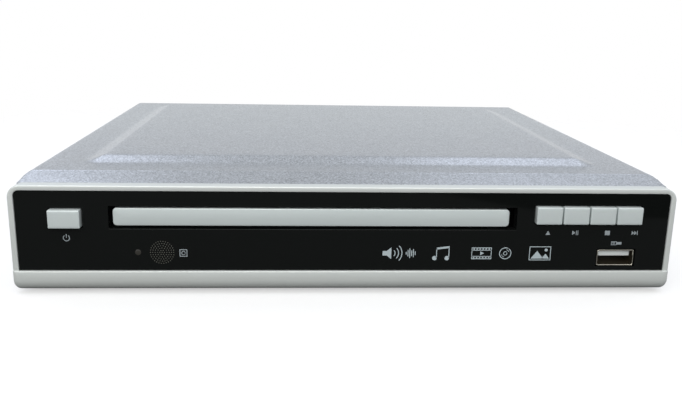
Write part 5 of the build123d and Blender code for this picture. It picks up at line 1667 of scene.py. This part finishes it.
# Screws -----------------------------------------------------------------------------------------
@dataclass
class Screws:
    """Pan-head screws with a cross recess, in the places of one CAD node."""

    name: str
    node: str
    places: tuple[tuple[Triple, Triple], ...]
    radius: float = 2.75
    height: float = 1.6
    fall: float = 0.55
    shank: float = 1.2
    grip: float = 5.0
    arm: float = 0.52
    arm_wall: float = 0.15
    reach: float = 1.6
    reach_wall: float = 0.4
    cut: float = 0.9
    sides: int = 80

    def head(self) -> np.ndarray:
        """The head's face: a square grid bent into a disc, domed, with a cross pressed in.

        A place (a, b) from -1 to 1 moves to (a * sqrt(1 - b*b/2), b * sqrt(1 - a*a/2)). The
        dome falls with the fourth power of the radius. The cross is deepest at its middle, and
        its depth fades over a wall's width at the sides and the end of each arm.

        Returns:
            The face's points on a grid, round the Z axis.
        """
        fine = np.array([0.0, 0.09, 0.16, 0.21, 0.3, 0.42, 0.52, 0.6, 0.7, 0.85, 1.0])
        line = np.concatenate([-fine[:0:-1], fine])
        a, b = np.meshgrid(line, line, indexing="ij")
        x = self.radius * a * np.sqrt(1.0 - b * b / 2.0)
        y = self.radius * b * np.sqrt(1.0 - a * a / 2.0)
        reach = np.hypot(x, y)
        dome = self.height * (1.0 - self.fall * (reach / self.radius) ** 4)
        aside = np.minimum(np.abs(x), np.abs(y))
        narrow = np.clip((self.arm - aside) / self.arm_wall, 0.0, 1.0)
        inside = np.clip((self.reach - reach) / self.reach_wall, 0.0, 1.0)
        deep = self.cut * (1.2 - 0.4 * reach / self.reach)
        return np.stack([x, y, dome - deep * narrow * inside], -1)

    def build(self) -> bpy.types.Object:
        """Makes the screws: each a head, and a turned skirt and shank under it.

        Returns:
            The piece.
        """
        draft = Draft(self.name)
        edge = self.height * (1.0 - self.fall)
        skirt = [(self.radius, edge), (self.radius, 0.0), (self.shank, 0.0),
                 (self.shank, -self.grip), (0.0, -self.grip)]
        for place, axis in self.places:
            draft.grid(laid(self.head(), place, axis))
            draft.grid(laid(turned(skirt, self.sides), place, axis), round_columns=True)
        return draft.make(Body.PLAYER, Slot.STEEL, [SCREW_PLATE], [self.node], crisp=30.0)


# The studio -------------------------------------------------------------------------------------
@dataclass(frozen=True)
class SoftBox:
    """A rectangular light that shines from a place towards a target, in metres and watts."""

    name: str
    place: Triple
    size: Pair
    power: float
    tone: Triple = (255.0, 255.0, 255.0)
    target: Triple = (0.0, 0.0, 0.03)

    def build(self) -> None:
        """Sets up the light: it looks down its own -Z, and its X stays level."""
        data = bpy.data.lights.new(self.name, "AREA")
        data.shape = "RECTANGLE"
        data.size, data.size_y = self.size
        data.energy = self.power
        data.color = linear(self.tone)[:3]
        lamp = bpy.data.objects.new(self.name, data)
        way = np.array(self.target) - np.array(self.place)
        way /= np.linalg.norm(way)
        side = np.cross(way, [0.0, 0.0, 1.0])
        side /= np.linalg.norm(side)
        matrix = np.identity(4)
        matrix[:3, :3] = np.stack([side, np.cross(side, way), -way], -1)
        matrix[:3, 3] = self.place
        lamp.matrix_world = Matrix(matrix)
        bpy.context.scene.collection.objects.link(lamp)


SOFT_BOXES = (
    SoftBox("overhead", (0.0, -0.35, 1.1), (1.4, 0.8), 3.4, target=(0.0, -0.05, 0.02)),
    SoftBox("back_left", (-0.7, 0.62, 1.05), (0.9, 0.6), 3.2, (226, 234, 255)),
    SoftBox("back_right", (0.45, 0.75, 1.05), (0.5, 0.4), 1.0, (226, 234, 255)),
    SoftBox("right", (1.0, 0.1, 0.7), (0.7, 0.5), 2.6, (244, 248, 255)),
    SoftBox("left", (-1.0, 0.0, 0.7), (0.7, 0.5), 1.4),
    SoftBox("front", (-0.2, -1.1, 0.65), (1.2, 0.6), 9.6, (255, 255, 252), (0.0, -0.1, 0.02)),
)


@dataclass
class Studio:
    """The camera at the photograph's place, the pale floor, the surroundings and the lights."""

    place: Triple = (-0.018336, -0.358891, 0.095886)
    yaw: float = 3.4696
    pitch: float = 14.4535
    roll: float = 1.1255
    focal: float = 780.0
    image_width: float = 682.0
    sensor: float = 36.0
    ambient: Triple = (178.0, 180.0, 184.0)
    reflected: Triple = (190.0, 194.0, 200.0)
    horizon: Triple = (255.0, 255.0, 255.0)
    horizon_span: Pair = (0.02, 0.28)
    seen: Triple = (255.0, 255.0, 255.0)
    floor_lit: Triple = (105.0, 105.0, 105.0)
    floor_glow: float = 0.5
    # Painted reflection: a dark patch of floor to the front right that only glossy rays see.
    reflection_patch_front: float = -206.0
    reflection_patch_slope: float = 1.15
    reflection_patch_side: float = 353.7
    reflection_patch_tone: Triple = (20.0, 22.0, 22.0)
    floor_radius: float = 450.0
    floor_sides: int = 64
    floor_fade: Pair = (300.0, 430.0)

    def camera(self) -> None:
        """Sets the camera: its axes come from turning right, tilting down and rolling."""
        yaw, pitch, roll = (math.radians(a) for a in (self.yaw, self.pitch, self.roll))
        ahead = np.array([
            math.sin(yaw) * math.cos(pitch), math.cos(yaw) * math.cos(pitch), -math.sin(pitch)])
        level = np.array([math.cos(yaw), -math.sin(yaw), 0.0])
        above = np.cross(level, ahead)
        right = math.cos(roll) * level + math.sin(roll) * above
        up = -math.sin(roll) * level + math.cos(roll) * above
        data = bpy.data.cameras.new("view")
        data.sensor_width = self.sensor
        data.sensor_fit = "HORIZONTAL"
        data.lens = self.sensor * self.focal / self.image_width
        data.clip_start, data.clip_end = 0.01, 50.0
        camera = bpy.data.objects.new("view", data)
        matrix = np.identity(4)
        matrix[:3, :3] = np.stack([right, up, -ahead], -1)
        matrix[:3, 3] = self.place
        camera.matrix_world = Matrix(matrix)
        bpy.context.scene.collection.objects.link(camera)
        bpy.context.scene.camera = camera

    def world(self) -> None:
        """Sets the surroundings.

        They are white to the camera, softer as a light, and in reflections brighter towards
        the horizon.
        """
        world = bpy.data.worlds.new("studio")
        bpy.context.scene.world = world
        shader = Shader(world)
        split = shader.node("ShaderNodeSeparateXYZ", None, {0: shader.place})
        steep = Signal(shader, split.outputs[2]).between(*self.horizon_span)
        mirrored = steep.mix(linear(self.horizon), linear(self.reflected))
        gloss = shader.ray("Is Glossy Ray").mix(linear(self.ambient), mirrored)
        direct = shader.ray("Is Camera Ray", "Is Transmission Ray")
        shown = direct.mix(gloss, linear(self.seen))
        light = shader.node("ShaderNodeBackground", None, {"Color": shown})
        shader.node("ShaderNodeOutputWorld", None, {"Surface": light.outputs[0]})

    def floor(self) -> None:
        """Lays the pale floor.

        It is matt near the player, where it keeps the shadow, and fades into the white
        surroundings further out. Glossy rays see a dark patch on it to the front right, a painted
        reflection in the window.
        """
        shader = Shader(bpy.data.materials.new("floor_white"))
        x, y = shader.axis(0), shader.axis(1)
        square = x * x + y * y
        reach = square.math("SQRT", square)
        tone = shader.ray("Is Camera Ray").mix(linear(self.floor_lit), linear(self.seen))
        # Painted reflection: glossy rays see this patch dark.
        reflection_patch = (y < self.reflection_patch_front) * ((x - y * self.reflection_patch_slope) > self.reflection_patch_side)
        tone = (reflection_patch * shader.ray("Is Glossy Ray")).mix(tone, linear(self.reflection_patch_tone))
        matt = shader.node("ShaderNodeBsdfDiffuse", None, {"Color": tone})
        glow = shader.node("ShaderNodeEmission", None, {"Color": linear(self.seen)})
        near = shader.node("ShaderNodeMixShader", None, {
            0: shader.ray("Is Camera Ray") * self.floor_glow,
            1: matt.outputs[0], 2: glow.outputs[0]})
        clear = shader.node("ShaderNodeBsdfTransparent")
        mix = shader.node("ShaderNodeMixShader", None, {
            0: reach.between(*self.floor_fade), 1: near.outputs[0], 2: clear.outputs[0]})
        shader.node("ShaderNodeOutputMaterial", None, {"Surface": mix.outputs[0]})
        mesh = bpy.data.meshes.new("floor")
        sides = self.floor_sides
        ring = np.linspace(0.0, 2.0 * math.pi, sides, endpoint=False)
        points = np.column_stack([np.cos(ring), np.sin(ring), np.zeros(sides)])
        points *= self.floor_radius * METRES
        mesh.from_pydata(points.tolist(), [], [list(range(sides))])
        mesh.materials.append(shader.owner)
        floor = bpy.data.objects.new("floor", mesh)
        bpy.context.scene.collection.objects.link(floor)

    def build(self) -> None:
        """Sets up the studio."""
        bpy.context.scene.view_settings.view_transform = "Standard"
        self.camera()
        self.world()
        for box in SOFT_BOXES:
            box.build()
        self.floor()


def dress_nodes() -> None:
    """Gives every CAD node a procedural finish in each of its material slots."""
    for name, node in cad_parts.items():
        for holder in node.material_slots:
            slot = holder.material.name.split(".")[0]
            holder.material = NODE_FINISHES.get(name, CAD_FINISHES[slot]).material()
        log.info("%s dressed", name)


def key_set() -> list[Key]:
    """The buttons: power by itself, and four of one size side by side.

    Returns:
        The five buttons, which aren't built yet.
    """
    pitch, level, size = 9.34, 28.27, (8.85, 6.05)
    middle = KEYS_OPENING.middle[0]
    group = (Body.EJECT, Body.PLAY, Body.STOP, Body.SKIP)
    power = Key(Body.POWER, POWER_OPENING.middle, (10.4, 6.2), proud=2.3)
    places = [(middle + pitch * (number - 1.5), level) for number in range(len(group))]
    return [power, *(Key(body, place, size) for body, place in zip(group, places))]


def screw_sets() -> list[Screws]:
    """The screws that show, each with its place and the way its head faces.

    Returns:
        The screws of each CAD node, which aren't built yet.
    """
    down, back = (0.0, 0.0, -1.0), (0.0, 1.0, 0.0)
    cover = [((side * Cover.half, 150.0, 7.0), (float(side), 0.0, 0.0)) for side in (-1, 1)]
    cover += [((side * Cover.tab_x, Cover.rear, Cover.hole_z), back) for side in (-1, 1)]
    base = [((side * 60.0, 9.0, 2.0), down) for side in (-1, 1)]
    base += [((side * 86.0, 199.0, 3.2), down) for side in (-1, 1)]
    rear = [((-68.5, 205.3, 19.0), back), ((-13.5, 205.3, 19.0), back), ((40.0, 205.3, 24.4), back)]
    return [
        Screws("cover_screw_heads", "cover_screws", tuple(cover)),
        Screws("base_screw_heads", "base_screws", tuple(base)),
        Screws("socket_screw_heads", "socket_screws", tuple(rear), grip=4.0),
    ]


def main() -> None:
    """Builds the studio and every piece, in order."""
    logging.basicConfig(level=logging.INFO, format="%(message)s")
    Studio().build()
    dress_nodes()
    Cover().build()
    Bezel().build()
    Window().build()
    Door().build()
    for key in key_set():
        key.build()
    socket = DataSocket()
    socket.shell()
    socket.insert()
    Lamp().build()
    Marks().build()
    for screws in screw_sets():
        screws.build()


if __name__ == "__main__":
    main()
